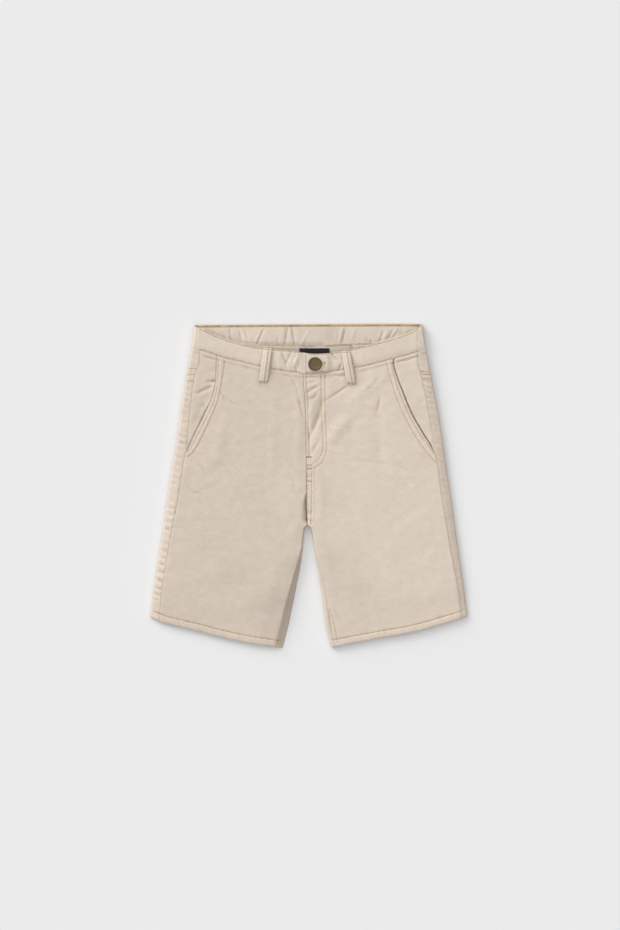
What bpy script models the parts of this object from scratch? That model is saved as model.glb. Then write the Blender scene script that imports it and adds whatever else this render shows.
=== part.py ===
"""Child's bermuda shorts in cotton twill, laid flat with the front upwards.

Frame: the origin is the middle of the shorts on the ground, +Z up, the waist towards +Y and the
wearer's left towards +X. The shorts are a flattened tube: each back panel lies on the ground, is
folded round the outer side up to the side seam and, below the crotch, round the inner leg up to the
inseam. The fronts close the tube on top. Tables and sizes are in millimetres.
"""
import math

import bmesh
import bpy
from mathutils import Matrix

MM = 0.001

# Cloth and clearances
TWILL = 1.2             # wall of every leg panel
BAND = 2.2              # waistband: two layers of twill and the stiffening between them
SEAM = 0.3              # clearance between two pieces that are sewn edge to edge
LAP = 0.4               # clearance between a piece and the one it lies on

# Heights of the outer surface over the ground
PANEL_TOP = 9.4
BAND_TOP = 10.8
OVERLAP_TOP = 12.8      # where one end of the front waistband lies on the other
FLY_RISE = 0.8          # the fly edge stands this much over the other front

# Folds: a low shoulder above, a tighter turn onto the ground below
SHOULDER = 12.0         # how far a fold is inset before the cloth lies level on top
TURN = 4.2              # how far it is inset before the cloth lies on the ground
SHOULDER_LENGTH = 13.8  # of cloth from the fold's edge to the level cloth on top
TURN_LENGTH = 7.2       # and from the edge to the cloth on the ground
SHOULDER_MARGIN = 2.0   # the shoulder ends at least this far before a side seam
FOLD_EASE = 0.80        # extra clearance of each edge where a seam lies on a fold
FOLD_EASE_END = 3.0     # length of seam position, past the shoulder, over which that clearance ends
CLOSE_UP = 1.6          # how far columns crowd towards a seam on a fold, and rows towards the crotch
FOLD_MARGIN = 5.0       # flat cloth next to an inner fold that is meshed with it

# Crotch and fly
CROTCH_X = -1.5
CROTCH_Y = -51.0
BACK_RISE = 14.0        # length of the back that rises to the crotch
FRONT_DIP = 36.0        # length of the front that dips to it
CROTCH_CLEARANCE = 0.7  # each leg's half of the gap where the four panels meet
CROTCH_LINE_SLOPE = 0.13
CROTCH_LINE_LEVEL = 10.0    # distance from the middle at which the crotch line starts to rise
FLY_END = 15.0
FLY_LIFT_END = -25.0    # the left front has come down onto the right one's level here
FLY_LIFT_LENGTH = 15.0
FLY_FLAT = 12.0         # the fly stands proud this far from its edge
FLY_SLOPE = 18.0        # and comes down to the panel over this length
FLY_UNDERLAP = 6.0      # how far the right front runs under the fly edge
FLY_UNDERLAP_LENGTH = 15.0  # height, from the fly's end, over which it gets there
FLY_UNDER_START = 7.0   # where the right front starts to sink, before the fly edge
OVERLAP_EDGE = -6.9     # visible end of the front waistband
OVERLAP_SLOPE = 10.0    # length over which each end of the band changes its height
OVERLAP_DIP_START = 11.0    # where the lower end starts to sink, before the upper one's edge
BAND_UNDERLAP_END = 20.0

# Fastening
BUTTON_CENTRE = (8.2, 158.2)
BUTTON_RADIUS = 8.8
SHANK_RADIUS = 1.2
BUTTONHOLE_END = (19.9, 159.9)
BUTTONHOLE_WIDTH = 3.2
BUTTONHOLE_EYE = 2.2    # radius of the keyhole
BUTTON_STEPS = 32
EYE_STEPS = 16
BUTTON_SHAPE = (
    # distance in from the rim, height over the band: the dished face, the rolled rim, the underside
    (2.4, 2.1),
    (1.9, 2.7),
    (0.9, 2.8),
    (0.1, 2.0),
    (0.0, 1.2),
    (0.6, 0.3),
    (1.4, 0.0),
)

# Trim
LOOP_WIDTH = 12.5
LOOP_WALL = 1.6
LOOP_ARCH = 1.6         # how far a belt loop stands off the band
LOOP_FULLNESS = 0.7     # exponent of the arch: under 1 it is full, with steep ends
FACING_UNDERLAP = 8.0
FACING_BOTTOM = 44.0
FACING_SINK = (7.0, 1.0)        # the facing goes down between these distances before the front's edge
FACING_SINK_SHARE = (0.9, 0.2)  # or these shares of its width, where it is narrower
ZIP_WIDTH = 24.0
ZIP_LEAD = 3.0          # of the tape's width lies before the fly edge
ZIP_WALL = 1.0
ZIP_SPAN = (30.0, 143.0)
LABEL_X = (-12.0, 26.9)
LABEL_Y = (160.0, 179.0)
LABEL_WALL = 0.6

# Edges that run down the shorts: x of each edge at a height y
DOWN = {
    "right": (
        ("y", "outer", "side", "pocket"),
        (209.5, -148.0, -140.0, -117.5),
        (179.0, -152.0, -141.0, -117.5),
        (162.0, -154.8, -141.5, -117.8),
        (140.0, -159.0, -148.5, -119.5),
        (121.0, -162.0, -151.0, -123.5),
        (96.0, -166.2, -154.0, -133.3),
        (70.0, -169.6, -156.5, -146.0),
        (50.0, -172.6, -157.7, -155.2),
        (34.0, -175.6, -161.5, -161.5),
        (-14.0, -183.4, -169.0, -169.0),
        (-74.0, -192.3, -180.5, -180.5),
        (-137.0, -202.0, -190.0, -190.0),
        (-168.0, -206.2, -193.5, -193.5),
    ),
    "left": (
        ("y", "outer", "side", "pocket"),
        (209.5, 147.5, 140.0, 108.8),
        (179.0, 152.4, 141.0, 108.8),
        (162.0, 155.4, 141.5, 110.0),
        (140.0, 159.6, 146.9, 115.2),
        (121.0, 163.3, 151.0, 121.8),
        (96.0, 168.2, 155.5, 132.0),
        (70.0, 172.4, 159.5, 146.6),
        (50.0, 175.3, 162.5, 159.0),
        (34.0, 177.6, 166.0, 166.0),
        (-14.0, 184.6, 173.0, 173.0),
        (-74.0, 193.0, 183.0, 183.0),
        (-137.0, 202.2, 195.0, 195.0),
        (-168.0, 206.2, 198.5, 198.5),
    ),
}

# Inner legs below the crotch: x of the inner fold, and how far the inseam lies round it on the front
INNER = {
    "right": (
        ("y", "fold", "inseam"),
        (-51.0, -2.2, 0.0),
        (-54.5, -5.0, 0.0),
        (-86.0, -8.2, 5.0),
        (-117.0, -13.2, 10.0),
        (-148.0, -19.6, 13.5),
        (-174.0, -24.9, 15.2),
        (-195.0, -29.9, 16.0),
        (-210.5, -34.4, 16.0),
    ),
    "left": (
        ("y", "fold", "inseam"),
        (-51.0, -0.8, 0.0),
        (-54.5, 2.8, 0.0),
        (-86.0, 8.4, 4.5),
        (-117.0, 13.9, 7.4),
        (-148.0, 18.8, 9.2),
        (-174.0, 21.4, 10.0),
        (-195.0, 25.4, 10.4),
        (-210.5, 29.5, 10.6),
    ),
}

# The fly edge and the front seam under it: x at a height y
FLY = (
    ("y", "x"),
    (174.0, -6.9),
    (145.0, -6.9),
    (105.0, -4.2),
    (40.0, -2.9),
    (-15.0, -2.6),
    (-51.0, -1.5),
)

# Edges that run across the shorts: y of each edge at a place x
ACROSS = {
    "front waist": (
        ("x", "y"), (-150.0, 207.5), (-143.9, 205.5), (-121.8, 195.1), (-99.7, 187.3), (-69.8, 180.0),
        (-37.0, 176.6), (-19.1, 175.0), (-5.0, 172.8), (7.7, 171.5), (27.7, 172.6), (39.4, 174.4),
        (58.0, 177.6), (77.1, 182.2), (110.9, 191.2), (133.0, 199.0), (148.0, 208.0),
    ),
    "front seam": (
        ("x", "y"), (-152.0, 179.3), (-128.0, 172.0), (-108.8, 165.7), (-89.0, 161.0), (-63.3, 154.9),
        (-37.3, 149.8), (-11.0, 146.4), (-1.4, 145.9), (21.0, 147.4), (44.6, 150.2), (66.7, 154.0),
        (88.8, 159.2), (118.7, 167.0), (134.3, 171.4), (152.0, 176.9),
    ),
    "back waist": (
        ("x", "y"), (-149.0, 209.4), (-50.0, 210.2), (0.0, 210.5), (60.0, 210.8), (104.0, 211.0),
        (148.0, 210.8),
    ),
    "back seam": (
        ("x", "y"), (-152.0, 179.3), (-55.0, 182.0), (12.0, 181.4), (77.0, 183.5), (152.0, 176.9),
    ),
    "right hem": (
        ("x", "y"), (-205.5, -170.2), (-190.0, -177.2), (-169.3, -182.7), (-141.0, -189.2),
        (-121.8, -194.6), (-75.0, -204.7), (-34.4, -210.8),
    ),
    "left hem": (
        ("x", "y"), (29.5, -209.7), (86.2, -198.9), (133.0, -190.6), (180.4, -177.6), (205.8, -169.6),
    ),
}

BELT_LOOPS = {
    # side: centre of the top end, centre of the bottom end
    "right": ((-52.5, 179.2), (-58.8, 134.0)),
    "left": ((48.2, 175.0), (55.8, 132.0)),
}

# The largest soft folds of the fronts: ridges rise over the cloth round them, troughs sink under it
SOFT_FOLDS = (
    ("x0", "y0", "x1", "y1", "width", "rise"),
    (-96.0, 86.0, -96.0, 38.0, 14.0, -0.8),      # below the right pocket's middle
    (-39.0, 64.0, -39.0, 12.0, 13.0, -0.7),      # beside the fly
    (-164.0, -5.0, -141.0, 40.0, 14.0, 0.8),     # below the right pocket's foot
    (-177.0, -46.0, -135.0, -55.0, 14.0, -0.7),
    (66.0, 108.0, 104.0, 146.0, 14.0, 0.8),      # drag from the left belt loop to the pocket
    (102.0, 109.0, 102.0, 76.0, 12.0, -0.7),
    (154.0, -12.0, 106.0, -53.0, 16.0, 0.8),     # across the left thigh
    (17.0, -60.0, 41.0, -164.0, 13.0, -0.7),     # along the left inseam
    (85.0, -128.0, 85.0, -168.0, 12.0, -0.7),
    (160.0, -79.0, 138.0, -103.0, 13.0, 0.7),
)

COLOURS = {
    # name: colour, roughness, metallic
    "twill": ((0.660, 0.560, 0.465, 1.0), 0.92, 0.0),
    "twill_inside": ((0.620, 0.525, 0.435, 1.0), 0.94, 0.0),
    "band_twill": ((0.680, 0.580, 0.485, 1.0), 0.92, 0.0),
    "zip_tape": ((0.600, 0.500, 0.400, 1.0), 0.85, 0.0),
    "aged_brass": ((0.160, 0.112, 0.062, 1.0), 0.42, 0.9),
    "label_cloth": ((0.010, 0.010, 0.020, 1.0), 0.80, 0.0),
}

OUTWARD = {"right": -1.0, "left": 1.0}

# Along a slanting edge x and y depend on each other: they settle in a few rounds from a first guess
SETTLING_ROUNDS = 6
FIRST_X = 60.0
FIRST_Y = 100.0


def read(table, place, column=None):
    """Value of a table's column at a place along its first column, smooth between the rows."""
    titles, *rows = table
    index = titles.index(column) if column else 1
    points = sorted((row[0], row[index]) for row in rows)
    if place <= points[0][0]:
        return points[0][1]
    if place >= points[-1][0]:
        return points[-1][1]
    slopes = [(b[1] - a[1]) / (b[0] - a[0]) for a, b in zip(points, points[1:])]
    tangents = [slopes[0]]
    for before, after in zip(slopes, slopes[1:]):
        steady = before * after > 0
        tangents.append(2 * before * after / (before + after) if steady else 0.0)
    tangents.append(slopes[-1])
    for i, (a, b) in enumerate(zip(points, points[1:])):
        if place <= b[0]:
            step = b[0] - a[0]
            t = (place - a[0]) / step
            rise = (3 - 2 * t) * t * t
            curve = step * t * (1 - t)
            return a[1] * (1 - rise) + b[1] * rise + curve * (tangents[i] * (1 - t) - tangents[i + 1] * t)


def mix(a, b, t):
    return a + (b - a) * t


def smooth(t):
    """0 to 1 with flat ends."""
    t = max(0.0, min(1.0, t))
    return t * t * (3 - 2 * t)


def panel_height(x, y):
    """Height of the leg panels' outer surface on top, with the soft folds."""
    height = PANEL_TOP
    for x0, y0, x1, y1, width, rise in SOFT_FOLDS[1:]:
        along = ((x - x0) * (x1 - x0) + (y - y0) * (y1 - y0)) / ((x1 - x0) ** 2 + (y1 - y0) ** 2)
        along = max(0.0, min(1.0, along))
        away = math.hypot(x - mix(x0, x1, along), y - mix(y0, y1, along))
        height += rise * math.exp(-((away / width) ** 2))
    return height


def fold_profile(around):
    """Inset and level (0 ground, 1 top) at a distance round a fold, counted upwards from its edge."""
    inset, length = (SHOULDER, SHOULDER_LENGTH) if around > 0 else (TURN, TURN_LENGTH)
    angle = min(1.0, abs(around) / length) * math.pi / 2
    rise = math.copysign(math.sin(angle), around)
    return inset * (1 - math.cos(angle)) + max(0.0, abs(around) - length), (1 + rise) / 2


def shoulder_level(inset):
    """Level of the cloth on top at an inset from a fold's edge."""
    away = max(0.0, 1 - inset / SHOULDER)
    return (1 + math.sqrt(max(0.0, 1 - away * away))) / 2


def shoulder_reach(inset):
    """Distance round a fold of a point on its shoulder at that inset."""
    return SHOULDER_LENGTH * math.acos(max(0.0, 1 - inset / SHOULDER)) / (math.pi / 2)


def crotch_rise(y):
    """How far the middle of the back has risen to the crotch: 0 flat, 1 at the crotch and below."""
    return smooth((CROTCH_Y + BACK_RISE - y) / BACK_RISE)


def crotch_fold(side, y):
    """x of the inner fold below the crotch, and of the centre back seam above it."""
    if y < CROTCH_Y:
        return read(INNER[side], y, "fold")
    return CROTCH_X + OUTWARD[side] * mix(SEAM / 2, CROTCH_CLEARANCE, crotch_rise(y))


def inseam_place(side, y):
    """Distance of the inseam round the inner fold; above the crotch the two edges meet at its middle."""
    return read(INNER[side], y, "inseam") if y < CROTCH_Y else 0.0


def inseam_clearance(inseam):
    """Each panel's half of the gap there, wider on the fold, where the inner faces of the walls close up."""
    return SEAM / 2 + FOLD_EASE * (1 - smooth((inseam - SHOULDER_LENGTH) / FOLD_EASE_END))


def overlap_height(x):
    """Height of the waistband's upper end, which lies on the lower one as far as that reaches."""
    fall = smooth((x - BAND_UNDERLAP_END - LAP) / OVERLAP_SLOPE)
    return mix(OVERLAP_TOP, BAND_TOP, fall)


def fly_height(side, x, y):
    """Height of the front's outer surface, with one front over the other along the fly."""
    active = smooth((y - FLY_LIFT_END) / FLY_LIFT_LENGTH)
    edge = read(FLY, y)
    if side == "left":
        return panel_height(x, y) + FLY_RISE * active * (1 - smooth((x - edge - FLY_FLAT) / FLY_SLOPE))
    under = TWILL + LAP - FLY_RISE
    sunk = smooth((x - edge + FLY_UNDER_START) / FLY_UNDERLAP)
    return panel_height(x, y) - under * active * sunk


def sheet_material(name):
    """The Principled material of that name."""
    found = bpy.data.materials.get(name)
    if found:
        return found
    colour, roughness, metallic = COLOURS[name]
    material = bpy.data.materials.new(name)
    material.use_nodes = True
    shader = material.node_tree.nodes["Principled BSDF"]
    shader.inputs["Base Color"].default_value = colour
    shader.inputs["Roughness"].default_value = roughness
    shader.inputs["Metallic"].default_value = metallic
    material.diffuse_color = colour
    return material


def add_object(name, mesh, material, collection):
    piece = bpy.data.objects.new(name, mesh)
    mesh.materials.append(sheet_material(material))
    collection.objects.link(piece)
    return piece


def add_sheet(name, columns, rows, place, wall, material, collection):
    """A sheet of cloth: a grid laid out by place(column, row share), thickened inwards.

    Columns run towards +X and rows towards -Y where the sheet faces up.
    """
    cloth = bmesh.new()
    bmesh.ops.create_grid(cloth, x_segments=columns, y_segments=rows, size=0.5)
    for vertex in cloth.verts:
        column = (vertex.co.x + 0.5) * columns
        share = 0.5 - vertex.co.y
        vertex.co = place(column, share)
    bmesh.ops.scale(cloth, vec=(MM, MM, MM), verts=cloth.verts)
    mesh = bpy.data.meshes.new(name)
    cloth.to_mesh(mesh)
    cloth.free()
    piece = add_object(name, mesh, material, collection)
    solidify = piece.modifiers.new("cloth wall", "SOLIDIFY")
    solidify.thickness = wall * MM
    solidify.offset = -1.0
    solidify.use_even_offset = True
    mesh.shade_smooth()
    return piece


def stretch(column, stops):
    """Section of the column and the share of that section, from a list of columns per section."""
    for section, count in enumerate(stops):
        if column <= count or section == len(stops) - 1:
            return section, column / count
        column -= count


BODY_ROWS = 10                   # from the waistband to the crotch
LEG_ROWS = 8                     # from the crotch to the hem
POCKET_ROWS = 6                  # of the body rows, those that reach the foot of the slant pocket
BACK_COLUMNS = (8, 8, 7, 2)      # inner fold, ground, outer fold, top


def row_height(side, top, x, share):
    """Height at x of the row at that share of the way from a panel's top edge to its hem."""
    row = share * (BODY_ROWS + LEG_ROWS)
    crotch = CROTCH_Y + CROTCH_LINE_SLOPE * max(0.0, abs(x) - CROTCH_LINE_LEVEL)
    if row <= BODY_ROWS:
        return mix(top, crotch, row / BODY_ROWS)
    down = ((row - BODY_ROWS) / LEG_ROWS) ** CLOSE_UP
    return mix(crotch, read(ACROSS[side + " hem"], x), down)


def back_point(side, column, share):
    """A point of a back panel's outer surface, from the inner edge round to the side seam."""
    section, t = stretch(column, BACK_COLUMNS)
    out = OUTWARD[side]
    x, y, level = out * FIRST_X, FIRST_Y, 0.0
    for _ in range(SETTLING_ROUNDS):
        to_front = level if section > 1 else 0.0
        top_edge = mix(read(ACROSS["back seam"], x), read(ACROSS["front seam"], x), to_front) - SEAM
        y = row_height(side, top_edge, x, share)
        inner = crotch_fold(side, y)
        outer = read(DOWN[side], y, "outer")
        inner_flat = -TURN_LENGTH - FOLD_MARGIN
        seam = read(DOWN[side], y, "side") + out * SEAM / 2
        shoulder = min(SHOULDER, abs(outer - seam) - SHOULDER_MARGIN)
        if section == 0:
            inseam = inseam_place(side, y)
            inseam -= inseam_clearance(inseam)
            inset, level = fold_profile(mix(inseam, inner_flat, t**CLOSE_UP))
            x = inner + out * inset
            level *= crotch_rise(y)
        elif section == 1:
            start = inner + out * (TURN + FOLD_MARGIN)
            end = outer - out * TURN
            x, level = mix(start, end, t), 0.0
        elif section == 2:
            inset, level = fold_profile(mix(-TURN_LENGTH, shoulder_reach(shoulder), t))
            x = outer - out * inset
        else:
            x = mix(outer - out * shoulder, seam, t)
            level = shoulder_level(abs(outer - x))
    return x, y, level * panel_height(x, y)


def add_back_panel(side, collection):
    columns = sum(BACK_COLUMNS)

    def place(column, share):
        return back_point(side, column if side == "right" else columns - column, share)

    rows = BODY_ROWS + LEG_ROWS
    add_sheet("back_panel_" + side, columns, rows, place, TWILL, "twill_inside", collection)


FRONT_COLUMNS = (12, 5)          # from the side to the inner fold, round the inner fold


def front_point(side, column, share):
    """A point of a front panel's outer surface, from the pocket edge or side seam to the inner edge."""
    section, t = stretch(column, FRONT_COLUMNS)
    out = OUTWARD[side]
    x, y, level = out * FIRST_X, FIRST_Y, 1.0
    for _ in range(SETTLING_ROUNDS):
        y = row_height(side, read(ACROSS["front seam"], x) - SEAM, x, share)
        if y < CROTCH_Y:
            middle = crotch_fold(side, y)
        else:
            underlap = FLY_UNDERLAP * smooth((y - FLY_END) / FLY_UNDERLAP_LENGTH) if side == "right" else 0.0
            middle = read(FLY, y) + underlap + out * SEAM / 2
        inseam = inseam_place(side, y)
        inseam += inseam_clearance(inseam)
        dip = smooth((CROTCH_Y + FRONT_DIP - y) / FRONT_DIP)
        flat = inseam + SHOULDER_LENGTH + FOLD_MARGIN
        if section == 0:
            edge = read(DOWN[side], y, "pocket")
            if y < FACING_BOTTOM:
                edge = read(DOWN[side], y, "side") - out * SEAM / 2
            inset, level = fold_profile(flat)
            x = mix(edge, middle + out * inset, t)
        else:
            inset, level = fold_profile(mix(flat, inseam, 1 - (1 - t) ** CLOSE_UP))
            x = middle + out * inset
        level = 1 - dip * (1 - level)
    level *= shoulder_level(abs(read(DOWN[side], y, "outer") - x))
    return x, y, level * fly_height(side, x, y)


def add_front_panel(side, collection):
    columns = sum(FRONT_COLUMNS)

    def place(column, share):
        return front_point(side, column if side == "right" else columns - column, share)

    rows = BODY_ROWS + LEG_ROWS
    add_sheet("front_panel_" + side, columns, rows, place, TWILL, "twill", collection)


def back_side_row(side, row):
    """Height along the shorts at which a row of the back panel meets the side seam."""
    y = FIRST_Y
    for _ in range(SETTLING_ROUNDS):
        x = read(DOWN[side], y, "side") + OUTWARD[side] * SEAM / 2
        y = row_height(side, read(ACROSS["front seam"], x) - SEAM, x, row / (BODY_ROWS + LEG_ROWS))
    return y


FACING_COLUMNS = (3, 3, 2)       # in sight, down under the front's edge, hidden


def add_pocket_facing(side, collection):
    """The hip piece inside the slant pocket: level with the back at the side seam, under the front inside."""
    columns = sum(FACING_COLUMNS)
    out = OUTWARD[side]

    def place(column, share):
        section, t = stretch(column if side == "right" else columns - column, FACING_COLUMNS)
        row = share * POCKET_ROWS
        side_y = back_side_row(side, row)
        seam = read(DOWN[side], side_y, "side") - out * SEAM / 2
        x = seam
        for _ in range(SETTLING_ROUNDS):
            y = side_y if row > 0.5 else read(ACROSS["front seam"], x) - SEAM
            pocket = read(DOWN[side], y, "pocket")
            sink = [min(a, b * abs(pocket - seam)) for a, b in zip(FACING_SINK, FACING_SINK_SHARE)]
            knots = (seam, pocket + out * sink[0], pocket + out * sink[1], pocket - out * FACING_UNDERLAP)
            x = mix(knots[section], knots[section + 1], t)
        inside = (0.0, smooth(t), 1.0)[section]
        level = shoulder_level(abs(read(DOWN[side], y, "outer") - x))
        return x, y, level * panel_height(x, y) - (TWILL + LAP) * inside

    add_sheet("pocket_facing_" + side, columns, POCKET_ROWS, place, TWILL, "twill_inside", collection)


def add_back_waistband(collection):
    """One band from side seam to side seam, round both folds, flat on the ground between them."""
    top, fold, ground = 2, 6, 16
    stops = (top, fold, ground, fold, top)
    columns = sum(stops)
    rows = 2

    def place(column, share):
        section, t = stretch(columns - column, stops)
        side = "left" if section < 2 else "right"
        out = OUTWARD[side]
        x, y, level = out * FIRST_X, FIRST_Y, 0.0
        for _ in range(SETTLING_ROUNDS):
            waist = mix(read(ACROSS["back waist"], x), read(ACROSS["front waist"], x), level)
            seam = mix(read(ACROSS["back seam"], x), read(ACROSS["front seam"], x), level)
            y = mix(waist, seam + SEAM / 2, share)
            outer = read(DOWN[side], y, "outer")
            side_seam = read(DOWN[side], y, "side") + out * SEAM / 2
            shoulder = min(SHOULDER, abs(outer - side_seam) - SHOULDER_MARGIN)
            outwards = t if section < 2 else 1 - t
            if section in (0, 4):
                x = mix(side_seam, outer - out * shoulder, outwards)
                level = shoulder_level(abs(outer - x))
            elif section == 2:
                right_flat = read(DOWN["right"], y, "outer") + TURN
                left_flat = read(DOWN["left"], y, "outer") - TURN
                x, level = mix(left_flat, right_flat, t), 0.0
            else:
                inset, level = fold_profile(mix(shoulder_reach(shoulder), -TURN_LENGTH, outwards))
                x = outer - out * inset
        return x, y, level * BAND_TOP

    # Columns run backwards, from the left side seam to the right one, so that the band faces out.
    add_sheet("waistband_back", columns, rows, lambda c, s: place(columns - c, s), BAND, "band_twill", collection)


def add_front_waistband(side, collection):
    """Half of the front band, from the side seam to its end at the fly."""
    stops = (3, 14)              # on the shoulder of the outer fold, level
    columns = sum(stops)
    rows = 2
    out = OUTWARD[side]
    end = OVERLAP_EDGE if side == "left" else BAND_UNDERLAP_END

    def place(column, share):
        section, t = stretch(column if side == "right" else columns - column, stops)
        x, y = out * FIRST_X, FIRST_Y
        for _ in range(SETTLING_ROUNDS):
            y = mix(read(ACROSS["front waist"], x), read(ACROSS["front seam"], x) + SEAM / 2, share)
            start = read(DOWN[side], y, "side") - out * SEAM / 2
            knots = (start, start - out * SHOULDER, end)
            x = mix(knots[section], knots[section + 1], t)
        level = shoulder_level(abs(read(DOWN[side], y, "outer") - x))
        if side == "left":
            return x, y, level * overlap_height(x)
        under = OVERLAP_TOP - BAND - LAP
        sunk = smooth((x - OVERLAP_EDGE + OVERLAP_DIP_START) / OVERLAP_SLOPE)
        return x, y, level * mix(BAND_TOP, under, sunk)

    return add_sheet("waistband_front_" + side, columns, rows, place, BAND, "band_twill", collection)


def cut_buttonhole(band, cutters):
    """A keyhole slot through the band, from under the button to its round end."""
    (x0, y0), (x1, y1) = BUTTON_CENTRE, BUTTONHOLE_END
    length = math.hypot(x1 - x0, y1 - y0)
    depth = 4 * BAND
    slot = bmesh.new()
    bmesh.ops.create_cube(slot, size=1.0)
    bmesh.ops.scale(slot, vec=(length + BUTTONHOLE_WIDTH, BUTTONHOLE_WIDTH, depth), verts=slot.verts)
    bmesh.ops.rotate(slot, matrix=Matrix.Rotation(math.atan2(y1 - y0, x1 - x0), 3, "Z"), verts=slot.verts)
    bmesh.ops.translate(slot, vec=((x0 + x1) / 2, (y0 + y1) / 2, OVERLAP_TOP), verts=slot.verts)
    bmesh.ops.scale(slot, vec=(MM, MM, MM), verts=slot.verts)
    mesh = bpy.data.meshes.new("buttonhole slot")
    slot.to_mesh(mesh)
    slot.free()
    eye = bmesh.new()
    bmesh.ops.create_cone(
        eye, cap_ends=True, segments=EYE_STEPS, radius1=BUTTONHOLE_EYE, radius2=BUTTONHOLE_EYE, depth=depth,
        matrix=Matrix.Translation((x1, y1, OVERLAP_TOP)),
    )
    bmesh.ops.scale(eye, vec=(MM, MM, MM), verts=eye.verts)
    eye_mesh = bpy.data.meshes.new("buttonhole eye")
    eye.to_mesh(eye_mesh)
    eye.free()
    for name, cutter_mesh in (("buttonhole_slot_cutter", mesh), ("buttonhole_eye_cutter", eye_mesh)):
        cutter = bpy.data.objects.new(name, cutter_mesh)
        cutter.hide_render = True
        cutter.display_type = "WIRE"
        cutters.objects.link(cutter)
        cut = band.modifiers.new(name, "BOOLEAN")
        cut.operation = "DIFFERENCE"
        cut.object = cutter


def add_belt_loop(side, collection):
    """A folded strip sewn down at both ends, arched over the waistband."""
    columns, rows = 4, 12
    (top_x, top_y), (bottom_x, bottom_y) = BELT_LOOPS[side]

    def place(column, share):
        x = mix(top_x, bottom_x, share) + (column / columns - 0.5) * LOOP_WIDTH
        y = mix(top_y, bottom_y, share)
        rest = mix(BAND_TOP, PANEL_TOP, share) + SEAM + LOOP_WALL
        return x, y, rest + LOOP_ARCH * math.sin(math.pi * share) ** LOOP_FULLNESS

    add_sheet("belt_loop_" + side, columns, rows, place, LOOP_WALL, "band_twill", collection)


def add_zip(collection):
    """The closed zip: its tape hangs under the fly edge, between the fronts and the back."""
    columns, rows = 4, 6
    height = PANEL_TOP - (TWILL + LAP - FLY_RISE) - TWILL - SEAM

    def place(column, share):
        y = mix(ZIP_SPAN[1], ZIP_SPAN[0], share)
        x = read(FLY, y) - ZIP_LEAD + ZIP_WIDTH * column / columns
        return x, y, height

    add_sheet("fly_zip", columns, rows, place, ZIP_WALL, "zip_tape", collection)


def add_label(collection):
    """The bare label sewn under the back waistband, lying on the inside of the back."""
    columns, rows = 6, 2
    height = TWILL + LAP + LABEL_WALL

    def place(column, share):
        return mix(*LABEL_X, column / columns), mix(LABEL_Y[1], LABEL_Y[0], share), height

    add_sheet("waist_label", columns, rows, place, LABEL_WALL, "label_cloth", collection)


def add_button(collection):
    """A turned shank button: dished face inside a rounded rim, and a shank down through the buttonhole."""
    face = OVERLAP_TOP + LAP
    foot = OVERLAP_TOP - BAND - LAP + SEAM
    profile = [(0.0, face + BUTTON_SHAPE[0][1])]
    profile += [(BUTTON_RADIUS - inwards, face + height) for inwards, height in BUTTON_SHAPE]
    profile += [(SHANK_RADIUS, face), (SHANK_RADIUS, foot), (0.0, foot)]
    turned = bmesh.new()
    points = [turned.verts.new((radius * MM, 0.0, height * MM)) for radius, height in profile]
    for a, b in zip(points, points[1:]):
        turned.edges.new((a, b))
    mesh = bpy.data.meshes.new("button")
    turned.to_mesh(mesh)
    turned.free()
    button = add_object("button", mesh, "aged_brass", collection)
    button.location = (BUTTON_CENTRE[0] * MM, BUTTON_CENTRE[1] * MM, 0.0)
    screw = button.modifiers.new("turned", "SCREW")
    screw.angle = 2 * math.pi
    screw.steps = BUTTON_STEPS
    screw.render_steps = BUTTON_STEPS
    screw.use_merge_vertices = True
    screw.merge_threshold = 0.05 * MM


def main():
    for leftover in list(bpy.data.objects):
        bpy.data.objects.remove(leftover, do_unlink=True)
    shorts = bpy.data.collections.new("bermuda shorts")
    cutters = bpy.data.collections.new("cutters")
    for collection in (shorts, cutters):
        bpy.context.scene.collection.children.link(collection)

    for side in ("right", "left"):
        add_back_panel(side, shorts)
        add_front_panel(side, shorts)
        add_pocket_facing(side, shorts)
        add_belt_loop(side, shorts)
    add_back_waistband(shorts)
    add_front_waistband("right", shorts)
    upper_band = add_front_waistband("left", shorts)
    cut_buttonhole(upper_band, cutters)
    add_zip(shorts)
    add_label(shorts)
    add_button(shorts)


main()
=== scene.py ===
# %% [markdown]
# # A child's bermuda shorts in cotton twill, laid flat
#
# The shorts lie on a pale table with the front upwards. Laid flat, trousers are a flattened tube: each back
# panel is folded round the outer side up to the side seam, and the fronts close the tube on top. This file
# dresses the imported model: every cloth piece is laid again as a finer sheet on the same outlines, then come
# the stitches, the button, the cloth itself, and the light.
#
# Sizes are in millimetres in the tables, and MM turns them into metres. The waist is towards +Y, the
# wearer's left is +X, and +Z is up.

import math

import bmesh
import bpy
import numpy as np
from mathutils import Matrix, Vector
from mathutils.bvhtree import BVHTree


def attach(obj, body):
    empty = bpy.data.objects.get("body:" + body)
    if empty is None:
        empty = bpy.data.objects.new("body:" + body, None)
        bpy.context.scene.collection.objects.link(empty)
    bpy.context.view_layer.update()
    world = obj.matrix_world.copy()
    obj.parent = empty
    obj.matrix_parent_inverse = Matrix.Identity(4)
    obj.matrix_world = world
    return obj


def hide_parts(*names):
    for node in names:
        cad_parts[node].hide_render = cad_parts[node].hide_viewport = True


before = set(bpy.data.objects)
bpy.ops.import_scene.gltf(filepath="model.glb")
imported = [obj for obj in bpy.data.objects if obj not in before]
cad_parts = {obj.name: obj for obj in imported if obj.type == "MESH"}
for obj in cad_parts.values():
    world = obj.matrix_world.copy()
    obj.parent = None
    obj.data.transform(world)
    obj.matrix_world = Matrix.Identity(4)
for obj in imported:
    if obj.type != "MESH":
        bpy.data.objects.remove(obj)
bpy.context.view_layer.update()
MM = 0.001
print("pieces in the packed model:", sorted(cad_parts))

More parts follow.
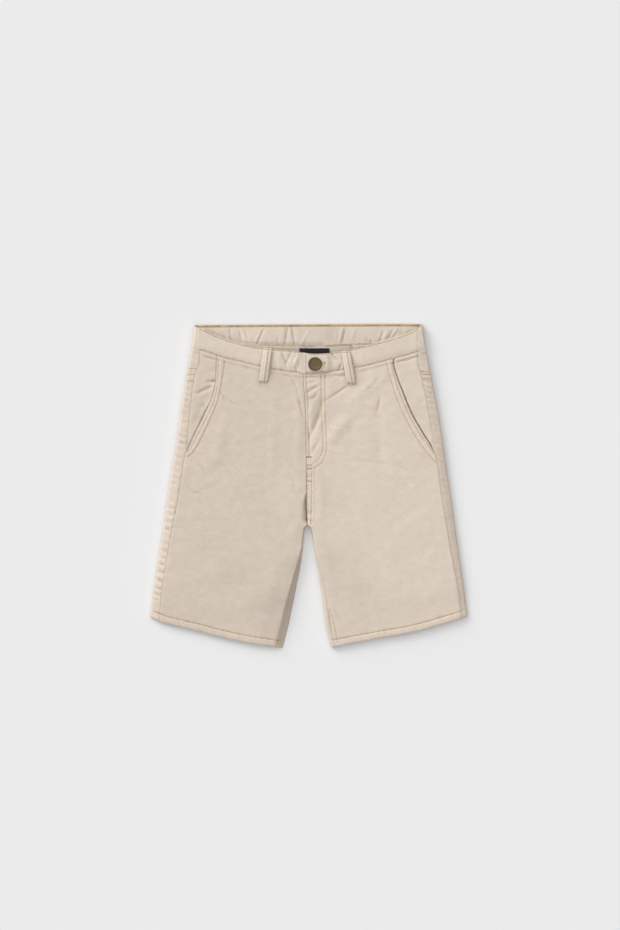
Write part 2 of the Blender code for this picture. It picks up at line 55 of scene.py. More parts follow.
# %% [markdown]
# ## The camera
#
# A flat lay is taken from straight above. A short lens near the cloth would show the sides of whatever
# stands up, so a long lens far away is used: the picture is then almost a plan.

# %% Look straight down from four metres
PICTURE_ROWS, MM_PER_PIXEL = 930, 1.30
LENS, SENSOR = 120.0, 36.0
AIM = (1.7, 27.4)               # the middle of the picture on the table


def add(name, data):
    """A new object for that mesh, camera or lamp, in the scene."""
    made = bpy.data.objects.new(name, data)
    bpy.context.scene.collection.objects.link(made)
    return made


picture_height = PICTURE_ROWS * MM_PER_PIXEL
camera_data = bpy.data.cameras.new("overhead camera")
camera_data.lens = LENS
camera_data.sensor_width = SENSOR
camera_data.clip_end = 20.0
camera = add("overhead camera", camera_data)
camera.location = (AIM[0] * MM, AIM[1] * MM, picture_height * LENS / SENSOR * MM)
bpy.context.scene.camera = camera
print(f"camera {camera.location.z:.2f} m above the table, picture {picture_height:.0f} mm high")

# %% [markdown]
# ## The outlines
#
# A pattern cutter draws edges as a few measured points joined with a curved rule. The tables below do the
# same: each row is a place along the shorts and where every edge lies there. `read` is the curved rule. It
# passes through each point and never swings past one, so a seam can't wobble between two points.

# %% Edges that run down the shorts: x of each edge at a height y
EDGES = (
    # the right leg's three edges, then the left leg's
    ("y", "outer", "side", "pocket", "outer", "side", "pocket"),
    (209.5, -148, -140, -119.3, 147.5, 140, 108.8),
    (179, -152, -141, -119.3, 152.4, 141, 108.8),
    (162, -154.8, -141.5, -119.5, 155.4, 141.5, 109),
    (140, -159, -148.5, -120.2, 159.6, 146.9, 114.4),
    (121, -162, -151, -123.5, 163.3, 151, 121.8),
    (96, -166.2, -154, -133.3, 168.2, 155.5, 132),
    (70, -169.6, -156.5, -146, 172.4, 159.5, 146.6),
    (50, -172.6, -157.7, -155.2, 175.3, 162.5, 159),
    (34, -175.6, -161.5, -161.5, 177.6, 166, 166),
    (-14, -183.4, -169, -169, 184.6, 173, 173),
    (-74, -192.3, -180.5, -180.5, 193, 183, 183),
    (-137, -202, -190, -190, 202.2, 195, 195),
    (-168, -206.2, -193.5, -193.5, 206.2, 198.5, 198.5),
)
DOWN = {
    "right": [row[:4] for row in EDGES],
    "left": [row[:1] + row[4:] for row in EDGES],
}

# Inner legs below the crotch: x of the inner fold, and how far the inseam lies round it on the front
INNER = {
    "right": (
        ("y", "fold", "inseam"),
        (-51, -2.2, 0),
        (-54.5, -5, 0),
        (-86, -8.2, 5),
        (-117, -13.2, 10),
        (-148, -19.6, 13.5),
        (-174, -24.9, 15.2),
        (-195, -29.9, 16),
        (-210.5, -34.4, 16),
    ),
    "left": (
        ("y", "fold", "inseam"),
        (-51, -0.8, 0),
        (-54.5, 2.8, 0),
        (-86, 8.4, 4.5),
        (-117, 13.9, 7.4),
        (-148, 18.8, 9.2),
        (-174, 21.4, 10),
        (-195, 25.4, 10.4),
        (-210.5, 29.5, 10.6),
    ),
}

# The fly edge and the front seam under it: x at a height y
FLY = (
    ("y", "x"),
    (174, -6.9),
    (145, -6.9),
    (105, -4.2),
    (40, -2.9),
    (-15, -2.6),
    (-51, -1.5),
)
print("side edges known at", len(EDGES) - 1, "heights")

# %% Edges that run across the shorts: y of each edge at a place x
ACROSS = {
    "front waist": (
        ("x", "y"), (-150, 207.5), (-143.9, 205.5), (-121.8, 195.1), (-99.7, 187.3), (-69.8, 180),
        (-37, 176.6), (-19.1, 175), (-5, 172.8), (7.7, 171.5), (27.7, 172.6), (39.4, 174.4),
        (58, 177.6), (77.1, 182.2), (110.9, 191.2), (133, 199), (148, 208),
    ),
    "front seam": (
        ("x", "y"), (-152, 179.3), (-128, 172), (-108.8, 165.7), (-89, 161), (-63.3, 154.9),
        (-37.3, 149.8), (-11, 146.4), (-1.4, 145.9), (21, 147.4), (44.6, 150.2), (66.7, 154),
        (88.8, 159.2), (118.7, 167), (134.3, 171.4), (152, 176.9),
    ),
    "back waist": (
        ("x", "y"), (-149, 209.4), (-50, 210.2), (0, 210.5), (60, 210.8), (104, 211),
        (148, 210.8),
    ),
    "back seam": (
        ("x", "y"), (-152, 179.3), (-55, 182), (12, 181.4), (77, 183.5), (152, 176.9),
    ),
    "right hem": (
        ("x", "y"), (-205.5, -169.7), (-190, -176.6), (-169.3, -182.1), (-141, -188.6),
        (-121.8, -194), (-75, -204.1), (-34.4, -210.2),
    ),
    "left hem": (
        ("x", "y"), (29.5, -209.2), (86.2, -198.4), (133, -190.1), (180.4, -177.1), (205.8, -169.2),
    ),
}


def read(table, place, column=None):
    """Value of a table's column at places along its first column, smooth between the rows."""
    titles, *rows = table
    index = titles.index(column) if column else 1
    points = np.array(sorted((row[0], row[index]) for row in rows))
    steps = np.diff(points[:, 0])
    slopes = np.diff(points[:, 1]) / steps
    before, after = slopes[:-1], slopes[1:]
    both = np.where(before * after > 0, before + after, 1.0)
    steady = np.where(before * after > 0, 2 * before * after / both, 0.0)
    tangents = np.concatenate([slopes[:1], steady, slopes[-1:]])
    place = np.clip(np.asarray(place, float), points[0, 0], points[-1, 0])
    i = np.clip(np.searchsorted(points[:, 0], place, side="right") - 1, 0, len(steps) - 1)
    t = (place - points[i, 0]) / steps[i]
    rise = (3 - 2 * t) * t * t
    curve = steps[i] * t * (1 - t)
    value = points[i, 1] * (1 - rise) + points[i + 1, 1] * rise
    return value + curve * (tangents[i] * (1 - t) - tangents[i + 1] * t)


def mix(a, b, t):
    return a + (b - a) * t


def smooth(t):
    """0 to 1 with flat ends."""
    t = np.clip(t, 0.0, 1.0)
    return t * t * (3 - 2 * t)


def ramp(value, start, end):
    """0 at start and before it, 1 at end and past it, smooth between; start may be the larger."""
    return smooth((value - start) / (end - start))


def bell(distance, width):
    """1 where the distance is 0, fading to nothing at about twice the width."""
    return np.exp(-((distance / width) ** 2))


OUTWARD = {"right": -1.0, "left": 1.0}
half_waist = read(DOWN["left"], 179.0, "outer") - read(DOWN["right"], 179.0, "outer")
print("half waist", round(float(half_waist)), "mm")

# %% [markdown]
# ## How a flattened tube folds
#
# Where the tube folds, the cloth turns tightly onto the table, and above the fold it runs nearly straight
# up to the flat front. How high it stands at the fold changes along the sides: the hips hold it up, and the
# legs let it sink. Inside each leg it was pressed: the right leg's strip slopes down to the table.

# %% Walls, heights and folds
TWILL, BAND, LOOP_WALL, ZIP_WALL, LABEL_WALL = 1.2, 2.2, 1.6, 1.0, 0.6
SEAM = 0.08             # gap between two pieces that are sewn edge to edge
LAP = 0.4               # clearance between a piece and the one it lies on
PANEL_TOP, BAND_TOP, OVERLAP_TOP = 9.4, 10.8, 12.8
FLY_RISE = 0.5
SHOULDER, CORNER = 12.0, 2.2        # insets of the slope above a fold, and of its round corner
TURN, TURN_LENGTH = 3.0, 4.9        # inset and length of the tight turn onto the table
FOLD_LEVEL = 0.34                   # height of a fold's outermost line, as a share of the flat front's
SLOPE_STEP, PRESSED_STEP = 0.96, 0.70
FOLD_MARGIN = 5.0
FRONT_REACH = 18.8                  # from the inseam to where a front lies flat
EDGE_TOPS = {
    # how high the cloth stands just above the outer fold, as a share of the flat front's height
    "right": (("y", "top"), (209, 0.93), (120, 0.90), (60, 0.80), (-20, 0.62), (-210, 0.58)),
    "left": (("y", "top"), (209, 0.92), (172, 0.88), (120, 0.76), (60, 0.68), (-20, 0.60), (-210, 0.58)),
}
INNER_TOP = 0.95
EDGE_LEVEL = 0.06       # of the right leg's inner edge
CROTCH_X, CROTCH_Y, CROTCH_LINE_SLOPE, CROTCH_CLEARANCE = -1.5, -51.0, 0.13, 0.7
BACK_RISE, FRONT_DIP = 14.0, 36.0
FLY_END, FLY_UNDERLAP = 15.0, 6.0
OVERLAP_EDGE, BAND_UNDERLAP_END = -6.9, 20.0


def corner_length(top):
    """Length round a fold's corner: a quarter of an ellipse is about 1.11 times its diagonal."""
    return 1.11 * np.hypot(CORNER, (top - FOLD_LEVEL) * PANEL_TOP)


def shoulder_level(inset, top):
    """Level of the cloth on top (0 table, 1 flat front) at an inset from a fold's edge."""
    slope = top + (1 - top) * (1 - (1 - np.clip(inset / SHOULDER, 0.0, 1.0)) ** 1.4)
    corner = np.sqrt(1 - np.clip(1 - inset / CORNER, 0.0, 1.0) ** 2)
    return mix(FOLD_LEVEL, slope, corner)


def fold_profile(around, top):
    """Inset and level at a distance round a fold, counted upwards from its edge."""
    turn = np.clip(-around / TURN_LENGTH, 0.0, 1.0) * math.pi / 2
    corner = np.clip(around / corner_length(top), 0.0, 1.0) * math.pi / 2
    above = CORNER * (1 - np.cos(corner)) + SLOPE_STEP * np.maximum(0.0, around - corner_length(top))
    below = TURN * (1 - np.cos(turn)) + np.maximum(0.0, -around - TURN_LENGTH)
    level = np.where(around > 0, shoulder_level(above, top), FOLD_LEVEL * (1 - np.sin(turn)))
    return np.where(around > 0, above, below), level


def shoulder_reach(inset, top):
    """Distance round a fold of a point above it at that inset."""
    on_corner = corner_length(top) * np.arccos(np.clip(1 - inset / CORNER, 0.0, 1.0)) / (math.pi / 2)
    return on_corner + np.maximum(0.0, inset - CORNER) / SLOPE_STEP


def outer_level(side, x, y):
    """Level at a place on top, from the outer fold of its side."""
    return shoulder_level(abs(read(DOWN[side], y, "outer") - x), read(EDGE_TOPS[side], y))


def crotch_rise(y):
    """How far the middle of the back has risen to the crotch: 0 flat, 1 at the crotch and below."""
    return smooth((CROTCH_Y + BACK_RISE - y) / BACK_RISE)


def crotch_fold(side, y):
    """x of the inner fold below the crotch, and of the centre back seam above it."""
    above = CROTCH_X + OUTWARD[side] * mix(SEAM / 2, CROTCH_CLEARANCE, crotch_rise(y))
    return np.where(y < CROTCH_Y, read(INNER[side], y, "fold"), above)


def inseam_place(side, y):
    """Distance of the inseam round the inner fold."""
    return np.where(y < CROTCH_Y, read(INNER[side], y, "inseam"), 0.0)


def inner_profile(side, y, around):
    """Inset and level round an inner fold; the right leg's strip slopes straight down from its inseam."""
    inset, level = fold_profile(around, INNER_TOP)
    if side == "left":
        return inset, level
    inseam = np.maximum(inseam_place(side, y), 1.0)
    slope = EDGE_LEVEL + (1 - EDGE_LEVEL) * np.clip(around / inseam, 0.0, 1.0)
    straight = PRESSED_STEP * np.minimum(around, inseam) + SLOPE_STEP * np.maximum(0.0, around - inseam)
    pressed = ramp(y, -58.0, -88.0)
    inset = mix(inset, np.where(around > 0, straight, inset), pressed)
    return inset, mix(level, np.where(around > 0, slope, EDGE_LEVEL * level / FOLD_LEVEL), pressed)


print(f"{corner_length(1.0):.1f} mm of cloth round the corner of a fold")

# %% [markdown]
# ## Creases
#
# Cotton twill that has been washed keeps soft hollows where it was worn, and small hard puckers where a
# seam shrank more than its cloth. Noise alone would look like crumpled paper, so the creases that show are
# placed one by one, as ridges and troughs along short lines, each with its own width and rise. A faint
# seeded unevenness then breaks up what is left.

# %% Ridges and troughs
CREASES = (
    # points along it, width, rise
    # right leg
    (((-105.8, 112.8), (-120.5, 40), (-153.4, -4.8)), 9, 0.8),
    (((-49, 93.7), (-49, 43.5), (-49, -6.6)), 6, 0.4),
    (((-13, 160), (-13, 75), (-13, -10)), 7, 0.7),
    (((-160.8, -6.2), (-134.5, 4), (-108.2, 14.2)), 5, 0.45),
    (((-197.7, -47.5), (-162, -39), (-126.3, -30.5)), 7, 0.4),
    (((-198.6, -113.9), (-170.5, -119), (-142.4, -124.1)), 6, 0.35),
    (((-136.3, -93.7), (-121, -109), (-105.7, -124.3)), 12, 0.6),
    (((-88.6, -151.4), (-58, -162.5), (-27.4, -173.6)), 6, -0.35),
    (((-28.6, -79.1), (-17.5, -57), (-6.5, -34.9)), 9, 0.8),
    (((-24, 143), (-16, 128), (-8, 112)), 1.8, -0.5),
    (((-17, 128), (-11, 106), (-5, 82)), 2, -0.8),
    (((-30, 22), (-19, 5), (-17, -18)), 2.4, -0.4),
    (((-122, 132), (-112, 118), (-104, 100)), 2, -0.4),
    (((-114, 120), (-100, 108), (-84, 102)), 1.8, -0.3),
    (((-150, 36), (-138, 24), (-130, 8)), 3, -0.5),
    (((-166, 12), (-148, -8), (-130, -12)), 3, -0.5),
    (((-70, 146), (-64, 132), (-54, 118)), 2.4, -0.4),
    # left leg
    (((16.3, 44), (38, 75.5), (60, 99.2)), 8, 0.9),
    (((40.8, 103.2), (86, 134), (113.6, 154)), 7, 0.7),
    (((90, 143.8), (90, 66.5), (90, -10.8)), 8, -0.5),
    (((186.8, 0.2), (131.5, -34.2), (76.2, -68.7)), 7, -0.4),
    (((171.3, -68.9), (138.2, -87.7), (105.1, -106.4)), 7, -0.35),
    (((63.1, -64.2), (71.8, -141.5), (80.6, -218.8)), 7, -0.3),
    (((17.3, -33.6), (35.5, -115.6), (53.7, -206.6)), 7, -0.4),
    (((15, 28.3), (15, -21), (15, -70.3)), 6, 0.5),
    (((65, 141), (38, 122), (9, 103)), 2.2, -0.7),
    (((26, 147), (40, 143), (56, 144)), 1.8, -0.4),
    (((24, 82), (34, 75), (48, 73)), 1.8, 0.4),
    (((24, 68), (34, 60), (46, 56)), 1.8, 0.4),
    (((22, 52), (34, 45), (50, 44)), 1.8, 0.35),
    (((44, 36), (84, 32), (126, 25)), 2, -0.3),
    (((62, 118), (80, 128), (100, 150)), 2.4, -0.45),
    (((84, 84), (90, 104), (94, 128)), 2.4, -0.4),
    (((108, 34), (128, 20), (152, 16)), 3, -0.35),
    (((30, -150), (42, -176), (58, -196)), 3, -0.5),
)
BACK_LIFTS = (
    # places where the cloth under the shorts doesn't quite touch the table
    (((-140, 120), (-60, 96)), 14, 0.7),
    (((-120, -20), (-66, 14)), 12, 0.6),
    (((-150, -110), (-90, -88)), 15, 0.7),
    (((44, 108), (120, 130)), 12, 0.6),
    (((60, 30), (132, 4)), 16, 0.8),
    (((76, -120), (150, -84)), 12, 0.6),
    (((-30, 60), (-22, 6)), 9, 0.5),
    (((26, 52), (18, -6)), 10, 0.6),
)


def passed_at(line):
    """How much of a line has been passed at each of its points."""
    return np.concatenate([[0.0], np.cumsum(np.linalg.norm(np.diff(line, axis=0), axis=1))])


def nearest_on(line, x, y):
    """Distance of each place from a line through points, and the share of the line passed there."""
    line = np.asarray(line, float)
    lengths = passed_at(line)
    nearest, passed = np.full(x.shape, 1e9), np.zeros(x.shape)
    for a, b, start, end in zip(line, line[1:], lengths, lengths[1:]):
        run = b - a
        t = np.clip(((x - a[0]) * run[0] + (y - a[1]) * run[1]) / (run @ run), 0.0, 1.0)
        away = np.hypot(x - a[0] - t * run[0], y - a[1] - t * run[1])
        passed = np.where(away < nearest, mix(start, end, t), passed)
        nearest = np.minimum(nearest, away)
    return nearest, passed / lengths[-1]


def creases(table, x, y):
    """Height that the ridges and troughs of a table add; each one fades out towards both its ends."""
    height = np.zeros_like(x)
    for points, width, rise in table:
        away, share = nearest_on(points, x, y)
        height += rise * smooth(share / 0.45) * ramp(share, 1.0, 0.55) * bell(away, width)
    return height


def uneven(x, y, size, seed):
    """Smooth unevenness from -1 to 1, with bumps about that size."""
    lattice = np.random.default_rng(seed).uniform(-1.0, 1.0, (61, 61))
    u, v = x / size + 500.0, y / size + 500.0
    i, j = np.floor(u).astype(int), np.floor(v).astype(int)
    s, t = smooth(u - i), smooth(v - j)
    low = mix(lattice[i % 61, j % 61], lattice[(i + 1) % 61, j % 61], s)
    high = mix(lattice[i % 61, (j + 1) % 61], lattice[(i + 1) % 61, (j + 1) % 61], s)
    return mix(low, high, t)


def panel_height(x, y):
    """Height of the leg panels' outer surface on top, more crumpled at the hips than on the legs."""
    hips = ramp(y, 10.0, 70.0)
    faint = 0.25 * uneven(x, y, 26.0, 3) + mix(0.14, 0.22, hips) * uneven(x, y, 9.0, 4)
    faint += 0.09 * uneven(x * 0.5 + y * 0.3, y, 4.5, 5)
    below = read(ACROSS["front seam"], x) - y
    puff = 0.30 * bell(below - 1.8, 1.8) - 0.25 * bell(below - 4.8, 1.8)
    return PANEL_TOP + creases(CREASES, x, y) * (1 + 0.25 * hips) + faint + puff


print(len(CREASES), "creases on top,", len(BACK_LIFTS), "underneath")

# %% [markdown]
# ## Rows of stitches
#
# Every seam on twill shorts is topstitched, mostly in two rows. The rows are needed twice: the cloth dips
# under them and puffs up between them, and later the threads lie along them. So they are worked out first,
# as lines on the plan of the shorts.

# %% Lines along the edges, moved sideways
POCKET_ROWS = {
    # side: the row near the pocket's edge, and the one that holds the pocket bag
    "right": (
        [(-117.2, 170), (-117.6, 150), (-118.3, 135.2), (-122.1, 112.3), (-132.5, 88.4), (-144.4, 65.5),
         (-154.4, 46.7), (-160, 41)],
        [(-107.8, 170), (-112.1, 139.1), (-117.5, 113.2), (-125.6, 92.4), (-136.5, 67.5), (-147.4, 47.6),
         (-153.4, 40.7), (-162, 37.4)],
    ),
    "left": (
        [(106.6, 165), (114.5, 131.3), (124.8, 105.4), (136.2, 81.5), (148.7, 61.9), (167, 37.5)],
        [(99.4, 165), (108.3, 132.3), (117.5, 106.5), (130, 80), (148.7, 49.4), (170, 25)],
    ),
}
HEM_ROW = 9.0                        # over the hem's edge
WAIST_ROW, SEAM_ROW = 0.9, 1.7       # rows of the waistband, inside its top edge and its seam
LEFT_FRONT_ROWS = {
    # round the fly, beside the crotch seam and along the inseam
    "fly inner": [(15.6, 148), (16.2, 100), (18.6, 58), (17.2, 44), (12, 35), (4.9, 28.7)],
    "fly outer": [(20.8, 148.5), (21.4, 100), (22.9, 58), (21.6, 42), (15.8, 30), (6.1, 22.9)],
    "crotch left": [(3.4, 19), (3.4, -10), (3, -34), (2.6, -50)],
    "crotch edge": [(-1.4, 27), (-1.4, -14), (-1, -47)],
    "inseam left": [(17.9, -132.5), (23.1, -152), (27, -171.5), (29.4, -189.7), (30.6, -202)],
    "inseam left far": [(26.4, -158.5), (31.6, -174), (35.5, -192.3), (37.2, -203.5)],
}
POCKET_NAMES = ("pocket inner ", "pocket outer ")


def line_down(side, column, top, bottom, step=2.0):
    """Points along one of the edges that run down the shorts."""
    y = np.arange(top, bottom, -step)
    return np.stack([read(DOWN[side], y, column), y], axis=1)


def line_across(edge, start, end, step=2.0):
    """Points along one of the edges that run across the shorts."""
    x = np.linspace(start, end, int(abs(end - start) / step) + 2)
    return np.stack([x, read(ACROSS[edge], x)], axis=1)


def beside(line, offset):
    """A line moved to its left by an offset, seen along its direction."""
    run = np.gradient(line, axis=0)
    run /= np.linalg.norm(run, axis=1)[:, None]
    return line + offset * np.stack([-run[:, 1], run[:, 0]], axis=1)


def curved(points, step=1.5):
    """A smooth line through a few points, passing through each of them."""
    points = np.array(points, float)
    ends = np.concatenate([[2 * points[0] - points[1]], points, [2 * points[-1] - points[-2]]])
    made = []
    for a, b, c, d in zip(ends, ends[1:], ends[2:], ends[3:]):
        count = max(2, int(np.linalg.norm(c - b) / step))
        t = np.linspace(0.0, 1.0, count, endpoint=False)[:, None]
        bend, twist = 2 * a - 5 * b + 4 * c - d, 3 * b - a - 3 * c + d
        made.append(0.5 * (2 * b + (c - a) * t + bend * t**2 + twist * t**3))
    return np.concatenate(made + [points[-1:]])


def points_at(line, distances):
    """Points at those distances along a line."""
    return np.stack([np.interp(distances, passed_at(line), line[:, axis]) for axis in (0, 1)], axis=1)


def middle_of(first, second, count=90):
    """The line halfway between two lines that run side by side."""
    return sum(points_at(line, np.linspace(0.0, passed_at(line)[-1], count)) for line in (first, second)) / 2


def inside_seam(side, line):
    """The stretch of a line on the front, between the waistband and the side seam."""
    x, y = line[:, 0], line[:, 1]
    within = OUTWARD[side] * (read(DOWN[side], y, "side") - x) > 0.6
    return line[within & (y < read(ACROSS["front seam"], x) - 0.5)]


rows = {name: curved(points) for name, points in LEFT_FRONT_ROWS.items()}
for side, (inner, outer) in POCKET_ROWS.items():
    rows["pocket inner " + side] = inside_seam(side, curved(inner))
    rows["pocket outer " + side] = inside_seam(side, curved(outer))
    rows["pocket middle " + side] = middle_of(rows["pocket inner " + side], rows["pocket outer " + side])
rows["hem right"] = beside(line_across("right hem", -204.8, -37.0), HEM_ROW)
rows["hem left"] = beside(line_across("left hem", 31.5, 205.0), HEM_ROW)
print(len(rows), "rows,", round(sum(float(passed_at(row)[-1]) for row in rows.values())), "mm")


# %% How the cloth dips at a row and puffs between two
HEM_SINK, HEM_SINK_REACH = 3.0, 55.0        # how far the legs' top sinks to the hem, and over what length


def dip(name, x, y, depth=0.22, width=1.5):
    return -depth * bell(nearest_on(rows[name], x, y)[0], width)


def hem_relief(side, x, y):
    """The turned hem: thicker below its row, roped into slanting puckers, rounded and sunk at the edge."""
    above = y - read(ACROSS[side + " hem"], x)
    turned = smooth((HEM_ROW + 0.6 - above) / 2.0)
    rope = 0.6 * uneven(x + 0.6 * OUTWARD[side] * above, above * 0.25, 4.4, 21)
    rope += uneven(x + 0.4 * above, above * 0.3, 2.6, 22)
    near = bell(above - HEM_ROW * 0.5, 4.6)
    edge = -0.7 * bell(np.maximum(above, 0.0), 1.6) - HEM_SINK * (1 - smooth(above / HEM_SINK_REACH))
    return turned * 0.35 + 0.25 * rope * near + edge + dip("hem " + side, x, y, 0.38, 1.7)


def pocket_relief(side, x, y):
    """The turned edge of a slant pocket, puffed between its two rows."""
    puff = bell(nearest_on(rows["pocket middle " + side], x, y)[0], 2.2)
    knots = uneven(x * 0.4, y, 4.6, 31)
    relief = 0.48 * puff * (0.85 + 0.45 * knots)
    for name in POCKET_NAMES:
        relief += dip(name + side, x, y, 0.34, 1.2)
    return relief


FLY_CREASES = (
    # points along it, width, rise
    (((-6, 140.5), (2.5, 143), (13, 141)), 1.8, -0.5),
    (((-6, 132.5), (3, 135.1), (12, 137.5)), 1.8, -0.45),
    (((-7, 118.5), (4, 126), (18, 133)), 2.2, -1.1),
    (((-5, 113.2), (6.8, 114.8), (15, 126)), 2, -0.8),
    (((20, 122), (12.5, 90), (-3, 52)), 3.4, -2),
    (((-4, 118), (-2.5, 85), (2, 52)), 2.2, -1.1),
    (((-1, 88), (4.3, 102), (9, 116)), 3.6, 0.7),
    (((18, 66), (9, 52), (0, 36)), 2, -0.7),
)


def fly_relief(x, y):
    """The fly's two rows, its edge and short creases, and the crotch seam's rope, on the left front."""
    relief = creases(FLY_CREASES, x, y)
    for name in LEFT_FRONT_ROWS:
        relief = relief + dip(name, x, y, 0.26)
    low = ramp(y, 30.0, 22.0) * ramp(y, -56.0, -52.0) * smooth((6.5 - abs(x - 1.2)) / 2.5)
    relief = relief + low * (0.35 + 0.50 * uneven(x * 0.3, y, 3.0, 41))
    inside = x - read(FLY, y)
    edge = 0.55 * bell(inside - 1.3, 1.3) - 0.40 * bell(inside - 4.2, 1.5)
    inner = 0.30 * uneven(x, y * 0.7, 3.2, 42) * bell(x - read(INNER["left"], y, "fold") - 4.0, 3.0)
    return relief + edge * ramp(y, 36.0, 41.0) + inner * ramp(y, -70.0, -90.0)


print(len(FLY_CREASES), "creases beside the fly")

# %% [markdown]
# ## Sheets of cloth
#
# A sheet starts as a flat grid, which stands for the cut piece, and each point is then laid where the
# outlines and folds put it. Solidify gives it the twill's thickness inwards, with the reverse of the cloth
# as a second material. The grid also keeps three things for each point: its place in the cut piece, so that
# the weave runs along the cloth and round its folds; how far it stands out of the cloth round it, so that the
# ridges are painted pale, partly as washing's wear and partly as painted highlight, and the hollows darker as
# painted shade; and how much darker or paler the cloth is painted there, partly dye and partly painted shade.

# %% Where the cloth is painted darker or paler: dye, and painted shade and highlight
DYE_AND_SHADE = (
    # x, y, size, amount: 1 is the whole way from the deep tone to the pale one; spots below 0 are partly dye
    # and partly painted shade, spots above 0 partly dye and partly painted highlight
    (5, 114, 13, -0.26),
    (8, 86, 13, -0.30),
    (23, 104, 13, -0.20),
    (28, -96, 24, -0.24),
    (50, -135, 26, -0.24),
    (78, -138, 20, -0.15),
    (27, -18, 18, -0.16),
    (-42, -150, 15, -0.34),
    (-60, -158, 20, -0.14),
    (-108, -118, 34, -0.14),
    (-28, -10, 20, 0.16),
    (30, 196, 15, -0.30),
    (-76, 195, 18, 0.20),
    (156, 38, 12, -0.20),
    (130, 98, 14, -0.14),
    (-165, 80, 9, 0.18),
)
# a run of small painted shadows down the strip between the right inseam and the fold, which slopes away from
# the light
SHADED_STRIP_Y, SHADED_STRIP_X = (-204.0, -174.0, -135.0, -96.0), (-39.0, -31.0, -22.0, -13.0)
DYE_AND_SHADE += tuple((float(np.interp(y, SHADED_STRIP_Y, SHADED_STRIP_X)), y, 7.0, -0.45) for y in np.arange(-204.0, -95.0, 9.0))


def dye_and_shade(x, y):
    """How much paler (above 0) or darker (below 0) the cloth is painted at a place: partly dye, partly
    painted shade and highlight.
    """
    return sum(amount * bell(np.hypot(x - at_x, y - at_y), size) for at_x, at_y, size, amount in DYE_AND_SHADE)


print(len(DYE_AND_SHADE), "places where the dye took more or less")


# %% Lay a sheet
WEAR_AND_SHADE_RELIEF = 0.7        # relief from the deepest hollow, painted darkest as painted shade, to the highest ridge, painted palest as rubbed wear and painted highlight


def crowded(t, strength=0.6):
    """0 to 1 with the steps packed towards both ends."""
    return t - strength * np.sin(2 * math.pi * t) / (2 * math.pi)


def softened(values, reach=3):
    """A grid of values averaged over a few cells each way."""
    kernel = np.ones(2 * reach + 1) / (2 * reach + 1)

    def averaged(run):
        return np.convolve(np.pad(run, reach, mode="edge"), kernel, "valid")

    return np.apply_along_axis(averaged, 1, np.apply_along_axis(averaged, 0, values))


def finished_mesh(name, shape):
    """The bmesh made a mesh, smooth shaded."""
    mesh = bpy.data.meshes.new(name)
    shape.to_mesh(mesh)
    shape.free()
    mesh.shade_smooth()
    return mesh


def triangles(mesh):
    return sum(len(face.vertices) - 2 for face in mesh.polygons)


def lay_sheet(name, columns, lines, place, wall):
    """A sheet of cloth: a grid laid by place(column, share), where columns run to +X and shares to -Y."""
    cloth = bmesh.new()
    bmesh.ops.create_grid(cloth, x_segments=columns, y_segments=lines, size=0.5)
    flat = np.array([tuple(vertex.co) for vertex in cloth.verts])
    column = np.rint((flat[:, 0] + 0.5) * columns)
    line = np.rint((0.5 - flat[:, 1]) * lines)
    spots = np.stack(place(column, line / lines), axis=1)
    for vertex, spot in zip(cloth.verts, spots):
        vertex.co = spot * MM
    mesh = finished_mesh(name, cloth)

    order = np.lexsort((column, line))
    laid = spots[order].reshape(lines + 1, columns + 1, 3)
    steps = np.linalg.norm(np.diff(laid, axis=1), axis=2)
    across = np.concatenate([np.zeros((lines + 1, 1)), np.cumsum(steps, axis=1)], axis=1)
    middle = columns // 2
    across += (laid[:, middle, 0] - across[:, middle])[:, None]
    cut = np.zeros((len(spots), 3))
    cut[order, 0] = across.ravel() * MM
    cut[order, 1] = laid[:, :, 1].ravel() * MM
    mesh.attributes.new("cut", "FLOAT_VECTOR", "POINT").data.foreach_set("vector", cut.ravel())
    # paleness of each point from its relief: ridges painted pale as rubbed wear and painted highlight,
    # hollows painted darker as painted shade
    paleness = np.zeros(len(spots))
    paleness[order] = np.clip(0.5 + (laid[:, :, 2] - softened(laid[:, :, 2])) / WEAR_AND_SHADE_RELIEF, 0.0, 1.0).ravel()
    for kept, values in (("paleness", paleness), ("dye_and_shade", dye_and_shade(spots[:, 0], spots[:, 1]))):
        mesh.attributes.new(kept, "FLOAT", "POINT").data.foreach_set("value", values)

    width, height = np.ptp(spots[:, 0]), np.ptp(spots[:, 1])
    print(f"{name}: {columns} x {lines} squares, {width:.0f} x {height:.0f} mm as it lies")
    sheet = add(name, mesh)
    thickness = sheet.modifiers.new("cloth wall", "SOLIDIFY")
    thickness.thickness = wall * MM
    thickness.offset = -1.0
    thickness.use_even_offset = True
    thickness.thickness_clamp = 1.0
    thickness.material_offset = 1
    thickness.material_offset_rim = 0
    return sheet


sheets = {}
SETTLE = 8              # rounds in which a point's x, y and level, which hang on each other, come to rest
MID_LEG, HIP = 60.0, 150.0          # distances from the middle at which those rounds start


def sections(column, counts):
    """Section of each column and the share of that section, from the number of columns of each."""
    ends = np.cumsum(counts)
    section = np.searchsorted(ends, column, side="left")
    starts = np.concatenate([[0], ends[:-1]])
    return section, (column - starts[section]) / np.array(counts)[section]


def lay_both(key, name, counts, lines, place, wall):
    """A piece and its mirror image: place(side, section, share of it, share down) lays a point of either.

    Columns run to +X in both, so the left one's are counted from its other end.
    """
    for side in OUTWARD:
        def laid(column, share):
            column = sum(counts) - column if side == "left" else column
            return place(side, *sections(column, counts), share)

        sheets[key + side] = lay_sheet(name + side, sum(counts), lines, laid, wall)

# %% [markdown]
# ## The leg panels
#
# The back panels come first, because everything else lies on them. A maker cuts them wider than the
# fronts, and that is why the side seams show as puckered strips in front of the folded edges.

# %% Rows of the grid, from the waistband to the hem
LEG_LINES = (150, 112)          # grid lines above and below the crotch


